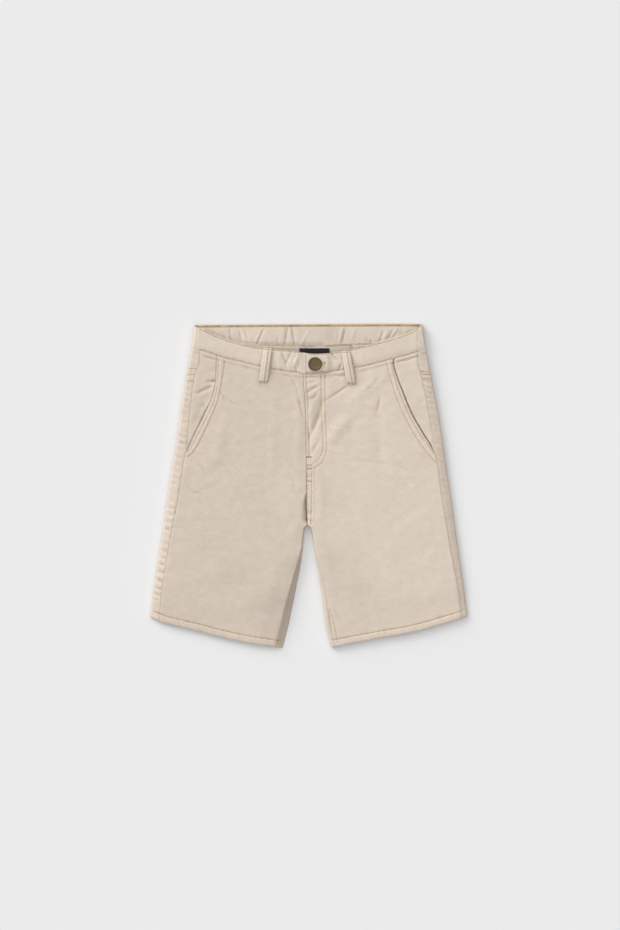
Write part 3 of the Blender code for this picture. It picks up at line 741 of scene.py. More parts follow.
def row_height(side, top, x, share):
    """Height at x of the grid line at that share of the way from a panel's top edge to its hem."""
    crotch = CROTCH_Y + CROTCH_LINE_SLOPE * np.maximum(0.0, abs(x) - 10)
    row = share * sum(LEG_LINES)
    body = np.clip(row / LEG_LINES[0], 0.0, 1.0)
    leg = np.clip((row - LEG_LINES[0]) / LEG_LINES[1], 0.0, 1.0)
    above = mix(top, crotch, body)
    below = mix(crotch, read(ACROSS[side + " hem"], x), crowded(leg))
    return np.where(row <= LEG_LINES[0], above, below)


def strip_puckers(side, x, y):
    """Puckers across the back panel's strip beside the side seam, every 8 or 9 mm and all unlike."""
    lean = 0.30 * (x - read(DOWN[side], y, "side"))
    pitch, depth = (9.2, 0.62) if side == "right" else (8.4, 0.48)
    beat = 2 * math.pi * (y + lean) / pitch + 2.6 * uneven(x * 0.05, y, 26.0, 51)
    size = 0.5 + 0.42 * uneven(x * 0.05, y, 11.0, 52)
    if side == "left":
        size = size * mix(0.45, 1.0, ramp(y, 85.0, 105.0) * ramp(y, 150.0, 140.0))
    else:
        size = size * mix(1.0, 0.6, ramp(y, 50.0, 70.0))
    return depth * (size * np.sin(beat) + 0.36 * uneven(x * 0.4, y, 3.2, 53))


print(sum(LEG_LINES), "rows of squares down a leg panel")

# %% The inside of the back at the waist
def back_inside(x, y, line):
    """How far the back's inside stands off the table at the band: more where it nears the front's edge."""
    under = read(ACROSS["front waist"], x) - y
    rising = 3.0 * ramp(under, -9.0, 3.0) * (1 - hanging(x))
    resting = mix(1.5, 0.4, ramp(line, 0.75, 0.95) * ramp(x, 24.0, 16.0))
    return np.maximum(resting, rising)


def hanging(x):
    """The stretch beside the left belt loop where the back falls away from the front's edge."""
    return ramp(x, 14.0, 20.0) * ramp(x, 62.0, 56.0)


def tucked(x, y):
    """How the back panel rises to the band it is sewn to."""
    seam = read(ACROSS["back seam"], x)
    return (back_inside(x, seam, 1.0) + BAND - TWILL) * (1 - hanging(x)) * bell(seam - y, 7.0)


back_seam = read(ACROSS["back seam"], 0.0)
print(f"the back stands {back_inside(0.0, back_seam, 1.0):.1f} mm off the table in the middle")

# %% Back panels
BACK_COLUMNS = (20, 62, 22, 10)     # inner fold, table, outer fold, top


def back_place(side, section, t, share):
    """x, y and height of a back panel's outside, from the inseam under the leg and up to the side seam."""
    out = OUTWARD[side]
    x, level = np.full(t.shape, out * MID_LEG), np.zeros(t.shape)
    for _ in range(SETTLE):
        to_front = np.where(section > 1, level, 0.0)
        top = mix(read(ACROSS["back seam"], x), read(ACROSS["front seam"], x), to_front) - SEAM
        y = row_height(side, top, x, share)
        inner, outer = crotch_fold(side, y), read(DOWN[side], y, "outer")
        seam = read(DOWN[side], y, "side") + out * SEAM / 2
        shoulder = np.minimum(SHOULDER, abs(outer - seam) - 2)
        inseam = inseam_place(side, y) - SEAM / 2
        round_inner, inner_level = inner_profile(side, y, mix(inseam, -TURN_LENGTH - FOLD_MARGIN, t**1.3))
        flat = mix(inner + out * (TURN + FOLD_MARGIN), outer - out * TURN, t)
        edge_top = read(EDGE_TOPS[side], y)
        around = mix(-TURN_LENGTH, shoulder_reach(shoulder, edge_top), t)
        round_outer, turned_level = fold_profile(around, edge_top)
        top_x = mix(outer - out * shoulder, seam, crowded(t, 0.3))
        x = np.choose(section, [inner + out * round_inner, flat, outer - out * round_outer, top_x])
        level = np.choose(section, [inner_level * crotch_rise(y), 0.0, turned_level, outer_level(side, x, y)])
    groove = bell(abs(x - seam), 1.8) * (section > 1)
    strip = strip_puckers(side, x, y) * (section > 1) * smooth(abs(x - seam) / 2.5)
    top_height = panel_height(x, y) + strip - 0.25 * groove
    hem = hem_relief(side, x, y)
    lift = (creases(BACK_LIFTS, x, y) + 0.25 * (1 + uneven(x, y, 30.0, 61)) + tucked(x, y)) * (section == 1)
    lift = lift * smooth(t / 0.15) * ramp(t, 1.0, 0.85)
    z = level * (top_height + hem) + (1 - level) * lift
    return x, y, z


lay_both("back_", "back_panel_cloth_", BACK_COLUMNS, sum(LEG_LINES), back_place, TWILL)

# %% [markdown]
# The fronts are cut away at the hips for the slant pockets. The left front carries the fly facing and
# lies over the right one, so the fly edge stands a little proud and catches the light.

# %% Front panels
FRONT_COLUMNS = (108, 34)           # from the side to the inner fold, round the inner fold
FACING_BOTTOM = 44.0
CROTCH_HOLLOW, INNER_SINK, EDGE_DIP = 4.2, 1.6, 0.30


def fly_height(side, x, y):
    """Height of the front's outer surface, with one front over the other along the fly."""
    active = smooth((y - FLY_END + 40) / 15)
    edge = read(FLY, y)
    if side == "left":
        return panel_height(x, y) + FLY_RISE * active * (1 - smooth((x - edge - 12) / 18))
    under = (TWILL + LAP - FLY_RISE) * smooth((x - edge + 1.2) / 2.0)
    pressed = np.minimum(0.0, fly_relief(x, y)) * smooth((x - edge) / 1.5)
    return panel_height(x, y) - active * under + active * pressed


def front_place(side, section, t, share):
    """x, y and height of a front's outside, from the pocket and the side seam to the fly and the inseam."""
    out = OUTWARD[side]
    x = np.full(t.shape, out * MID_LEG)
    for _ in range(SETTLE):
        y = row_height(side, read(ACROSS["front seam"], x) - SEAM, x, share)
        underlap = FLY_UNDERLAP * smooth((y - FLY_END) / 15) if side == "right" else 0.0
        above = read(FLY, y) + underlap + out * SEAM / 2
        middle = np.where(y < CROTCH_Y, crotch_fold(side, y), above)
        inseam = inseam_place(side, y) + SEAM / 2
        flat = inseam + FRONT_REACH
        pocket, side_seam = read(DOWN[side], y, "pocket"), read(DOWN[side], y, "side") - out * SEAM / 2
        edge = np.where(y < FACING_BOTTOM, side_seam, pocket)
        flat_inset, flat_level = inner_profile(side, y, flat)
        round_inset, round_level = inner_profile(side, y, mix(flat, inseam, 1 - (1 - t) ** 1.3))
        flat_x = mix(edge, middle + out * flat_inset, crowded(t, 0.45))
        x = np.where(section == 0, flat_x, middle + out * round_inset)
        level = np.where(section == 0, flat_level, round_level)
    dipped = smooth((CROTCH_Y + FRONT_DIP - y) / FRONT_DIP)
    if side == "left":
        dipped = dipped * mix(0.35, 1.0, smooth((CROTCH_Y - y) / 9.0))
    level = 1 - dipped * (1 - level)
    level = level * outer_level(side, x, y)
    height = fly_height(side, x, y) + hem_relief(side, x, y) + pocket_relief(side, x, y)
    if side == "left":
        height = height + fly_relief(x, y)
    else:       # the right front hollows beside the crotch seam, and sinks along its inner leg
        deep = ramp(y, -6.0, -22.0) * ramp(y, -52.0, -42.0)
        spread = mix(2.2, 4.4, ramp(y, -10.0, -40.0))
        height = height - CROTCH_HOLLOW * deep * bell(x - middle, spread)
        height = height - INNER_SINK * (1 - smooth((middle - x - 10.0) / 26.0)) * ramp(y, -80.0, -120.0)
    height = height - EDGE_DIP * bell(x - edge, 1.2)
    return x, y, level * height


lay_both("front_", "front_panel_cloth_", FRONT_COLUMNS, sum(LEG_LINES), front_place, TWILL)

# %% [markdown]
# ## Inside the slant pockets
#
# A hip piece closes the pocket behind its slanting mouth. It is sewn to the back at the side seam, level
# with it, and dives under the front's edge. The left pocket gapes a little, so its mouth is a dark line.

# %% Pocket facings
FACING_COLUMNS, FACING_LINES = (22, 12, 6), 96      # columns: seen, the bend at the mouth, under the front
FACING_UNDERLAP = 8.0
POCKET_HOLLOWS = (
    # points along it, width, rise
    (((-126.5, 134.6), (-123.1, 136.4), (-120, 138.5)), 1.9, -2.4),
    (((-136, 135.6), (-128, 136), (-121, 137)), 2.2, -0.8),
    (((-150, 118.6), (-134, 126), (-119, 133)), 2.6, -1.3),
    (((-124, 136), (-138, 102), (-155, 62)), 5, -1),
    (((-131, 104), (-137.5, 90), (-144, 76)), 2.2, -1),
    (((104, 157), (118.7, 162.2), (130.4, 164.4), (140.8, 168.6), (156, 173)), 1.6, -0.6),
    (((-146, 170.4), (-129.5, 166.4), (-113, 162.5)), 1.8, -0.4),
)


def facing_place(side, section, t, share):
    """x, y and height of a hip piece, from the side seam to its hidden edge under the front."""
    out = OUTWARD[side]
    x = np.full(t.shape, out * HIP)
    for _ in range(SETTLE):
        y = mix(read(ACROSS["front seam"], x) - SEAM, FACING_BOTTOM - 2.0, share)
        seam = read(DOWN[side], y, "side") - out * SEAM / 2
        pocket = read(DOWN[side], y, "pocket")
        seen = abs(pocket - seam)
        # the cloth bends down right at the front's edge, or further out where the mouth stands open
        open_low = ramp(y, 112.0, 96.0) if side == "right" else 1.0
        start = pocket + out * np.minimum(mix(1.4, 3.2, open_low), 0.9 * seen)
        end = pocket + out * np.minimum(mix(-0.9, 0.5, open_low), 0.2 * seen)
        knots = np.stack([seam, start, end, pocket - out * FACING_UNDERLAP])
        index = np.arange(len(x))
        x = mix(knots[section, index], knots[section + 1, index], t)
    inside = np.choose(section, [0.0, smooth(t), 1.0])
    level = outer_level(side, x, y)
    groove = -0.25 * bell(abs(x - seam), 1.8)
    gape = inside * ramp(y, 44.0, 54.0) * mix(2.1, 1.5, ramp(y, 118.0, 138.0)) if side == "left" else 0.0
    height = panel_height(x, y) + groove + 0.15 * uneven(x * 0.4, y, 5.0, 71) + creases(POCKET_HOLLOWS, x, y)
    return x, y, level * height - (TWILL + LAP) * inside - gape


lay_both("facing_", "pocket_facing_cloth_", FACING_COLUMNS, FACING_LINES, facing_place, TWILL)

# %% [markdown]
# ## The waistband
#
# The back band holds an elastic, so its cloth stands in gathers, which show on the inside of the back
# above the lower front. They are drawn one by one, like the creases. The front band is flat and stiffened,
# and only pulls into short slanting creases beside the button and the belt loops.

# %% Back band with its gathers
GATHERS = (
    # x at the top edge and at the seam, where it starts and ends (0 top edge, 1 seam), width, rise
    (-102.5, -102, 0.1, 0.7, 1.6, -0.5),
    (-92.6, -85.4, 0.2, 0.8, 1.5, -0.5),
    (-85.4, -77.2, 0.2, 0.7, 1.4, -0.45),
    (-56.6, -68.3, 0.2, 0.95, 1.5, -0.9),
    (-59.2, -70.9, 0.2, 0.95, 1.4, 0.4),
    (-40.6, -40.6, 0.55, 0.85, 1.3, -0.7),
    (-26.5, -31.5, 0.1, 1, 1.8, -0.7),
    (-23.3, -18, 0.1, 1, 1.7, -0.8),
    (3.9, -11.3, 0.3, 0.95, 1.6, 0.5),
    (31, 37, 0.35, 0.7, 1.5, 0.4),
    (44.5, 38.6, 0.15, 0.95, 1.6, 0.7),
    (48, 43, 0.2, 0.9, 1.4, -0.6),
    (60.2, 55, 0.2, 0.8, 1.5, 0.35),
    (78, 75, 0.6, 0.9, 1.2, -0.5),
    (83, 80, 0.7, 1, 1.3, -0.7),
    (99.2, 90.7, 0.3, 0.9, 1.3, -0.8),
    (106.3, 94, 0.35, 0.8, 1.3, 0.5),
    (114, 97, 0.2, 0.75, 1.3, -0.8),
    (122.6, 100.5, 0.2, 0.65, 1.3, -0.7),
    (126.5, 105.7, 0.15, 0.5, 1.2, -0.5),
)


def gathers(x, share):
    """Height that the gathers add, share 0 at the top edge and 1 at the seam."""
    height = np.zeros_like(x)
    for top, bottom, start, end, width, rise in GATHERS:
        hold = smooth((share - start) / 0.25 + 0.3) * smooth((end - share) / 0.25 + 0.3)
        height += 1.15 * rise * hold * bell(x - mix(top, bottom, share), 1.2 * width)
    return height + 0.22 * uneven(x, share * 16.0, 5.0, 81)


# %% The front band's creases and its two stitched edges, which the back band's ends share
BAND_CREASES = (
    # points along it, width, rise
    (((-21, 152), (-15, 169)), 2.8, 0.7),
    (((-16, 150.5), (-9.5, 162)), 2.4, -0.7),
    (((-38, 180), (-31, 163), (-27, 148)), 1.8, -0.8),
    (((-20, 180), (-27, 165), (-33, 152)), 1.8, -0.8),
    (((-44, 172), (-39, 160), (-37, 148)), 1.6, 0.6),
    (((-22, 160), (-17, 153), (-14, 144)), 1.6, -0.8),
    (((-9, 178), (-16, 164), (-21, 152)), 1.8, 0.7),
    (((-12, 172), (-10, 158), (-13, 146)), 1.6, -0.7),
    (((26, 176), (33, 168), (42, 160)), 1.8, -0.6),
    (((22, 170), (25, 158), (24, 148)), 1.8, 0.5),
    (((-26, 172), (-24, 156)), 2.4, 0.4),
    (((-40, 175), (-38, 158)), 3, 0.5),
    (((42.9, 162.6), (39.3, 150.9), (30.3, 146.6)), 1.8, -1.2),
    (((128, 192), (134, 180)), 2.8, -0.3),
    (((96, 182), (100, 168)), 4, -0.3),
    (((-130, 192), (-120, 176)), 4, 0.3),
    (((-96, 182), (-90, 168)), 4, -0.3),
    (((66, 174), (70, 160)), 3, 0.4),
)


def band_relief(x, y, waist, low):
    """Relief of the band on top: creases, and a groove with puckers under the row along each edge."""
    relief = creases(BAND_CREASES, x, y) + 0.16 * uneven(x, y, 13.0, 91)
    relief += 0.10 * uneven(x + 0.6 * y, y, 4.6, 93)
    for at, row in ((waist - y, WAIST_ROW), (y - low, SEAM_ROW)):
        pucker = uneven(x, at * 0.3, 4.2, 92)
        relief = relief + 0.24 * pucker * bell(at - row, 2.4)
        relief = relief - 0.14 * bell(at - row, 1.4) - 0.30 * bell(at, 1.4)
    return relief - (BAND_TOP - PANEL_TOP - 0.35) * bell(y - low, 5.0)


BACK_BAND_COLUMNS, BACK_BAND_LINES = (8, 16, 280, 16, 8), 34      # top, fold, table, fold, top


def back_band_place(column, share):
    """x, y and height of the back band, from the left side seam under the shorts to the right one."""
    section, t = sections(sum(BACK_BAND_COLUMNS) - column, BACK_BAND_COLUMNS)
    section, t = 4 - section, 1 - t
    out = np.where(section < 2, 1.0, -1.0)

    def beside_it(tables, y, column=None):
        return np.where(out > 0, read(tables["left"], y, column), read(tables["right"], y, column))

    x, level = out * HIP, np.zeros(column.shape)
    line = crowded(share, 0.4)
    for _ in range(SETTLE):
        waist = mix(read(ACROSS["back waist"], x), read(ACROSS["front waist"], x), level)
        seam = mix(read(ACROSS["back seam"], x), read(ACROSS["front seam"], x), level)
        y = mix(waist, seam + SEAM / 2, line)
        outer, side_seam = beside_it(DOWN, y, "outer"), beside_it(DOWN, y, "side") + out * SEAM / 2
        shoulder = np.minimum(SHOULDER, abs(outer - side_seam) - 2)
        outwards = np.where(out > 0, t, 1 - t)
        edge_top = beside_it(EDGE_TOPS, y)
        around = mix(shoulder_reach(shoulder, edge_top), -TURN_LENGTH, outwards)
        round_inset, round_level = fold_profile(around, edge_top)
        top_x = mix(side_seam, outer - out * shoulder, outwards)
        flat_x = mix(read(DOWN["left"], y, "outer") - TURN, read(DOWN["right"], y, "outer") + TURN, t)
        x = np.choose(section, [top_x, outer - out * round_inset, flat_x, outer - out * round_inset, top_x])
        top_level = shoulder_level(abs(outer - x), edge_top)
        level = np.choose(section, [top_level, round_level, 0.0, round_level, top_level])
    on_table = (section == 2) * smooth(t / 0.03) * ramp(t, 1.0, 0.97)
    hold = smooth(line / 0.12) * ramp(line, 1.0, 0.88)
    lift = back_inside(x, y, line) + gathers(x, line) * mix(0.6, 1.0, hold)
    shared = BAND_TOP + band_relief(x, y, waist, seam)
    return x, y, level * shared + (1 - level) * np.maximum(lift, 0.0) * on_table


sheets["back_band"] = lay_sheet(
    "waistband_cloth_back", sum(BACK_BAND_COLUMNS), BACK_BAND_LINES, back_band_place, BAND
)
print(len(GATHERS), "gathers at the back,", len(BAND_CREASES), "creases in front")

# %% Front band, in two halves
BAND_COLUMNS, BAND_LINES = (150,), 32


def front_band_place(side, section, t, share):
    """x, y and height of a half of the front band; the left half laps over the right one."""
    out = OUTWARD[side]
    line = crowded(share, 0.6)
    x = np.full(t.shape, out * MID_LEG)
    for _ in range(SETTLE):
        waist, low = read(ACROSS["front waist"], x), read(ACROSS["front seam"], x)
        y = mix(waist, low + SEAM / 2, line)
        start = read(DOWN[side], y, "side") - out * SEAM / 2
        end = OVERLAP_EDGE if side == "left" else BAND_UNDERLAP_END
        x = mix(start, end, crowded(t, 0.3))
    level = outer_level(side, x, y)
    relief = band_relief(x, y, waist, low)
    if side == "left":
        lap = mix(OVERLAP_TOP, BAND_TOP, smooth((x - BAND_UNDERLAP_END - 1) / 10))
        lip = 0.40 * bell(x - OVERLAP_EDGE - 1.3, 1.3) - 0.35 * bell(x - OVERLAP_EDGE - 4.0, 1.5)
        return x, y, level * (lap + relief + lip)
    under = smooth((x - OVERLAP_EDGE + 11) / 10)
    return x, y, level * (mix(BAND_TOP, OVERLAP_TOP - BAND - LAP, under) + relief * (1 - under))


lay_both("band_", "waistband_cloth_front_", BAND_COLUMNS, BAND_LINES, front_band_place, BAND)

# %% [markdown]
# ## Small pieces of cloth
#
# Belt loops are strips folded in three and stitched down their length, so the cloth stands up as ribs
# between two grooves, and the loop arches off the band. The label under the back band is a bare folded
# ribbon, and the zip's tape hangs unseen behind the fly.

# %% Belt loops
BELT_LOOPS = {
    # side: centre of the top end, centre of the bottom end
    "right": ((-52.5, 179.2), (-58.8, 134)),
    "left": ((48.2, 175), (55.8, 132)),
}
LOOP_WIDTH, LOOP_LENGTH, LOOP_ARCH, LOOP_ROW = 12.5, 45.0, 3.0, 3.3
LOOP_COLUMNS, LOOP_LINES = 22, 60


def loop_place(side):
    (top_x, top_y), (bottom_x, bottom_y) = BELT_LOOPS[side]

    def place(column, share):
        offset = (column / LOOP_COLUMNS - 0.5) * LOOP_WIDTH
        x = mix(top_x, bottom_x, share) + offset
        y = mix(top_y, bottom_y, share)
        rest = mix(BAND_TOP, PANEL_TOP, share) + SEAM + LOOP_WALL
        arch = LOOP_ARCH * np.sin(math.pi * np.clip(share, 0.0, 1.0)) ** 0.7
        edge = -0.8 * bell(LOOP_WIDTH / 2 + offset, 0.9)
        edge -= 2.0 * bell(LOOP_WIDTH / 2 - offset, 1.5)
        grooves = -0.75 * bell(offset - 1.5, 0.9) - 0.30 * bell(offset - LOOP_ROW, 0.8)
        rib = 0.45 * bell(offset + 0.6, 1.6)
        wobble = 0.18 * uneven(offset * 0.5, y, 6.0, 95)
        tack = -0.5 * (bell((share - 0.04) * LOOP_LENGTH, 1.2) + bell((0.96 - share) * LOOP_LENGTH, 1.2))
        return x, y, rest + arch + edge + grooves + rib + wobble + tack

    return place


for side in OUTWARD:
    name = "belt_loop_cloth_" + side
    sheets["loop_" + side] = lay_sheet(name, LOOP_COLUMNS, LOOP_LINES, loop_place(side), LOOP_WALL)

# %% Bare label and zip tape
LABEL_X, LABEL_Y, LABEL_GRID = (-12.0, 26.9), (179.0, 160.0), (40, 20)
ZIP_WIDTH, ZIP_Y, ZIP_GRID = 24.0, (143.0, 30.0), (16, 60)


def label_place(column, share):
    x, y = mix(*LABEL_X, column / LABEL_GRID[0]), mix(*LABEL_Y, share)
    ends = np.minimum(x - LABEL_X[0], LABEL_X[1] - x)
    raised = 0.35 * ramp(y, 170.0, 178.0) + 0.15 * uneven(x, y, 7.0, 96)
    return x, y, TWILL + 3 * LAP + LABEL_WALL + raised - 0.25 * bell(ends, 0.8)


def zip_place(column, share):
    y = mix(*ZIP_Y, share)
    x = read(FLY, y) - 3.0 + ZIP_WIDTH * column / ZIP_GRID[0]
    return x, y, np.full(x.shape, PANEL_TOP - (TWILL + LAP - FLY_RISE) - TWILL - 1.2)


sheets["label"] = lay_sheet("waist_label_cloth", *LABEL_GRID, label_place, LABEL_WALL)
sheets["zip"] = lay_sheet("fly_zip_tape", *ZIP_GRID, zip_place, ZIP_WALL)
depsgraph = bpy.context.evaluated_depsgraph_get()
for key, sheet in sheets.items():
    print(f"{key}: {triangles(sheet.evaluated_get(depsgraph).data)} triangles")

# %% [markdown]
# ## Stitches
#
# A lockstitch shows as a short length of thread lying between two needle holes, where it dives into the
# cloth. One such stitch is modelled, and copies of it are laid end to end along the rows. Each copy is
# dropped onto the finished cloth, so it follows every crease. Bar tacks are the same stitch laid close
# together across a short line.

# %% One stitch
def thread_stitch():
    """A stitch of unit length and unit radius along +X, thick in the middle and sunk at both ends."""
    shape = bmesh.new()
    bmesh.ops.create_cone(shape, cap_ends=True, segments=6, radius1=1.0, radius2=1.0, depth=1.0)
    lengthwise = [edge for edge in shape.edges if abs(edge.verts[0].co.z - edge.verts[1].co.z) > 0.5]
    bmesh.ops.subdivide_edges(shape, edges=lengthwise, cuts=3)
    bmesh.ops.rotate(shape, matrix=Matrix.Rotation(math.pi / 2, 3, "Y"), verts=shape.verts)
    for vertex in shape.verts:
        bow = math.cos(math.pi * vertex.co.x)
        vertex.co.y *= 0.72 + 0.28 * bow
        vertex.co.z = vertex.co.z * (0.62 + 0.38 * bow) + 0.50 * bow - 0.40
    return finished_mesh("one stitch", shape)


ONE_STITCH = thread_stitch()
print(len(ONE_STITCH.polygons), "faces in one stitch")
SHORTEST_STITCH, LONGEST_STITCH = 0.0002, 0.006     # metres; others would hang between two layers
cloth_trees = {key: BVHTree.FromObject(sheet, depsgraph) for key, sheet in sheets.items()}


def on_cloth(keys, x, y):
    """Point and normal of the topmost of some sheets at a place on the plan, or nothing past their edges."""
    start, down = Vector((x * MM, y * MM, 0.05)), Vector((0, 0, -1))
    hits = [cloth_trees[key].ray_cast(start, down) for key in keys]
    hits = [(distance, point, normal) for point, normal, _, distance in hits if point]
    return min(hits, key=lambda hit: hit[0])[1:] if hits else None


def lay_stitch(joined, keys, start, end, radius):
    """Adds one stitch from start to end, on top of the cloth under its two ends and middle."""
    places = [on_cloth(keys, *mix(start, end, t)) for t in (0.0, 0.5, 1.0)]
    if None in places:
        return
    (a, _), (middle, normal), (b, _) = places
    along = b - a
    if not SHORTEST_STITCH < along.length < LONGEST_STITCH:
        return
    x_axis = along.normalized()
    y_axis = normal.cross(x_axis).normalized()
    z_axis = x_axis.cross(y_axis)
    lift = z_axis * max(0.0, (middle - (a + b) / 2).dot(normal))
    turn = Matrix((along, y_axis * radius * MM, z_axis * radius * MM)).transposed().to_4x4()
    copy = ONE_STITCH.copy()
    copy.transform(Matrix.Translation((a + b) / 2 + lift) @ turn)
    joined.from_mesh(copy)
    bpy.data.meshes.remove(copy)


# %% Rows and bar tacks
THREAD, BAND_THREAD = 0.48, 0.52     # radius of the topstitching thread on the legs and on the waistband
FINE_THREAD = 0.26
STITCH, STITCH_GAP = 3.1, 0.45


def resampled(line, step):
    """Points at even steps along a line."""
    return points_at(line, np.arange(0.0, passed_at(line)[-1], step))


def stitch_row(joined, keys, line, radius=THREAD, length=STITCH, gap=STITCH_GAP):
    """A row of stitches with a little human unevenness."""
    points = resampled(line, length + gap)
    drift = np.random.default_rng(len(points)).uniform(-0.12, 0.12, (len(points), 2))
    points = points + drift
    for a, b in zip(points, points[1:]):
        run = (b - a) / np.linalg.norm(b - a)
        lay_stitch(joined, keys, a + run * gap / 2, b - run * gap / 2, radius)


def bar_tack(joined, keys, start, end, width=1.6, pitch=0.62, radius=0.34):
    """Close stitches across a short line."""
    start, end = np.array(start, float), np.array(end, float)
    run = (end - start) / np.linalg.norm(end - start)
    across = np.array([-run[1], run[0]]) * width / 2
    points = resampled(np.stack([start, end]), pitch)
    for i, point in enumerate(points):
        lean = run * pitch * 0.5 * (1 if i % 2 else -1)
        lay_stitch(joined, keys, point - across - lean, point + across + lean, radius)


def finish_stitches(name, joined):
    piece = add(name, finished_mesh(name, joined))
    print(f"{name}: {triangles(piece.data)} triangles")
    return piece


stitching = {}

# %% Stitches on the fronts
work = bmesh.new()
for side in OUTWARD:
    for name in POCKET_NAMES:
        stitch_row(work, ["front_" + side], rows[name + side])
for name in LEFT_FRONT_ROWS:
    stitch_row(work, ["front_left"], rows[name])
stitching["fronts"] = finish_stitches("stitches_fronts", work)

# %% Stitches along the hems, and the tacks at the end of the fly
work = bmesh.new()
bar_tack(work, ["front_left"], (-2.4, 38.0), (3.8, 38.0), width=2.6, radius=0.5)
for y in (27.4, 22.5):
    bar_tack(work, ["front_left"], (-1.8, y), (4.3, y), width=1.6, radius=0.45)
for side in OUTWARD:
    stitch_row(work, ["front_" + side, "back_" + side], rows["hem " + side], BAND_THREAD)
# the hem's row is bunched and bold where it ends on the right leg's inner strip
stitch_row(work, ["back_right"], beside(line_across("right hem", -47.0, -33.5), HEM_ROW), radius=0.8)
stitching["hems"] = finish_stitches("stitches_hems", work)

# %% Stitches on the waistband and belt loops
work = bmesh.new()
for side, out in OUTWARD.items():
    end = OVERLAP_EDGE + 2.0 if side == "left" else OVERLAP_EDGE - 1.0
    start = out * 142.0
    for edge, offset in (("front waist", WAIST_ROW), ("front seam", SEAM_ROW)):
        line = line_across(edge, start, end)
        line[:, 1] += offset if edge == "front seam" else -offset
        stitch_row(work, ["band_" + side, "back_band"], line, BAND_THREAD)
    bottom_x, bottom_y = BELT_LOOPS[side][1]
    bar_tack(work, ["loop_" + side], (bottom_x - 5.6, bottom_y + 1.6), (bottom_x + 5.6, bottom_y + 1.6))
waist = line_across("back waist", -146.0, 144.0)
zigzag = resampled(waist, 1.1)
for i, (a, b) in enumerate(zip(zigzag, zigzag[1:])):
    near, far = (-0.3, -3.6) if i % 2 else (-3.6, -0.3)
    lay_stitch(work, ["back_band"], a + (0.0, near), b + (0.0, far), BAND_THREAD)
line = line_across("back seam", -128.0, 128.0)
line[:, 1] += 1.6
stitch_row(work, ["back_band"], line, BAND_THREAD)
stitching["waist"] = finish_stitches("stitches_waistband", work)

# %% Finer threads along the side seams, inseams and loops, and the bar tacks at the hips
work = bmesh.new()
for side, out in OUTWARD.items():
    line = line_down(side, "side", 174.0, -164.0)
    stitch_row(work, ["back_" + side], beside(line, out * 1.0), radius=FINE_THREAD, length=2.6, gap=0.9)
    (top_x, top_y), (bottom_x, bottom_y) = BELT_LOOPS[side]
    line = np.array([(top_x + LOOP_ROW, top_y - 3.0), (bottom_x + LOOP_ROW, bottom_y + 3.0)])
    stitch_row(work, ["loop_" + side], line, radius=FINE_THREAD, length=2.4, gap=0.7)
    bar_tack(work, ["loop_" + side], (top_x - 5.2, top_y - 1.6), (top_x + 5.2, top_y - 1.6))
HIP_TACKS = {"right": (152.6, 145.1, 136.6), "left": (149.0, 145.2, 139.9)}      # y of each bar tack
for side, heights in HIP_TACKS.items():
    out = OUTWARD[side]
    for y in heights:
        seam, outer = float(read(DOWN[side], y, "side")), float(read(DOWN[side], y, "outer"))
        bar_tack(work, ["back_" + side], (seam + out * 0.5, y), (outer - out * 0.8, y), width=1.4, radius=0.5)
stitching["fine"] = finish_stitches("stitches_fine", work)

# %% [markdown]
# ## The button
#
# Jeans buttons are pressed from brass sheet: a flat face inside a rolled rim, on a shank that goes through
# the buttonhole. It is turned from half a section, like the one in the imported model, with more points
# where the rim is round.

# %% Turn the button
BUTTON_CENTRE = (8.2, 158.2)
BUTTON_FACE = OVERLAP_TOP + LAP
BUTTON_SECTION = (
    # radius, height over the band
    (0, 2.15), (6.2, 2.15), (6.5, 2.2), (6.8, 2.42), (7.1, 2.62), (7.5, 2.72), (7.9, 2.66), (8.3, 2.42),
    (8.6, 2.05), (8.75, 1.6), (8.8, 1.2), (8.7, 0.8), (8.4, 0.45), (8, 0.2), (7.4, 0.05), (1.2, 0),
    (1.2, -2.6), (0, -2.6),
)
turned = bmesh.new()
section = [
    turned.verts.new((radius * MM, 0.0, (height + BUTTON_FACE) * MM)) for radius, height in BUTTON_SECTION
]
profile = [turned.edges.new(pair) for pair in zip(section, section[1:])]
bmesh.ops.spin(
    turned, geom=section + profile, cent=(0, 0, 0), axis=(0, 0, 1), angle=2 * math.pi, steps=64,
    use_merge=True,
)
bmesh.ops.remove_doubles(turned, verts=turned.verts, dist=0.00001)
bmesh.ops.recalc_face_normals(turned, faces=turned.faces)
bmesh.ops.translate(turned, vec=(BUTTON_CENTRE[0] * MM, BUTTON_CENTRE[1] * MM, 0.0), verts=turned.verts)
button = add("brass_button", finished_mesh("button", turned))
print("button:", triangles(button.data), "triangles")

# %% Work the buttonhole in thread
work = bmesh.new()
eye = np.array((19.2, 159.8))           # the hole's keyhole end, past the button's rim
for i in range(5):
    turn = math.radians(-60 + 30 * i)
    spoke = np.array([math.cos(turn), math.sin(turn)])
    lay_stitch(work, ["band_left"], eye + spoke * 0.3, eye + spoke * 2.6, 0.5)
run = eye - BUTTON_CENTRE
run /= np.linalg.norm(run)
across = np.array([-run[1], run[0]])
for i in range(12):
    for flank in (-1.0, 1.0):
        root = eye - run * (1.2 + 0.8 * i) + across * flank * 0.8
        lay_stitch(work, ["band_left"], root, root + across * flank * 1.7, 0.36)
stitching["buttonhole"] = finish_stitches("stitches_buttonhole", work)

# %% [markdown]
# ## Materials
#
# A material is a sum of patterns, and it is easier to read as one. `Wire` wraps the output of a node so
# that `mask * 0.3 + 1` adds the Math nodes itself. `Finish` holds one material and makes any other node.

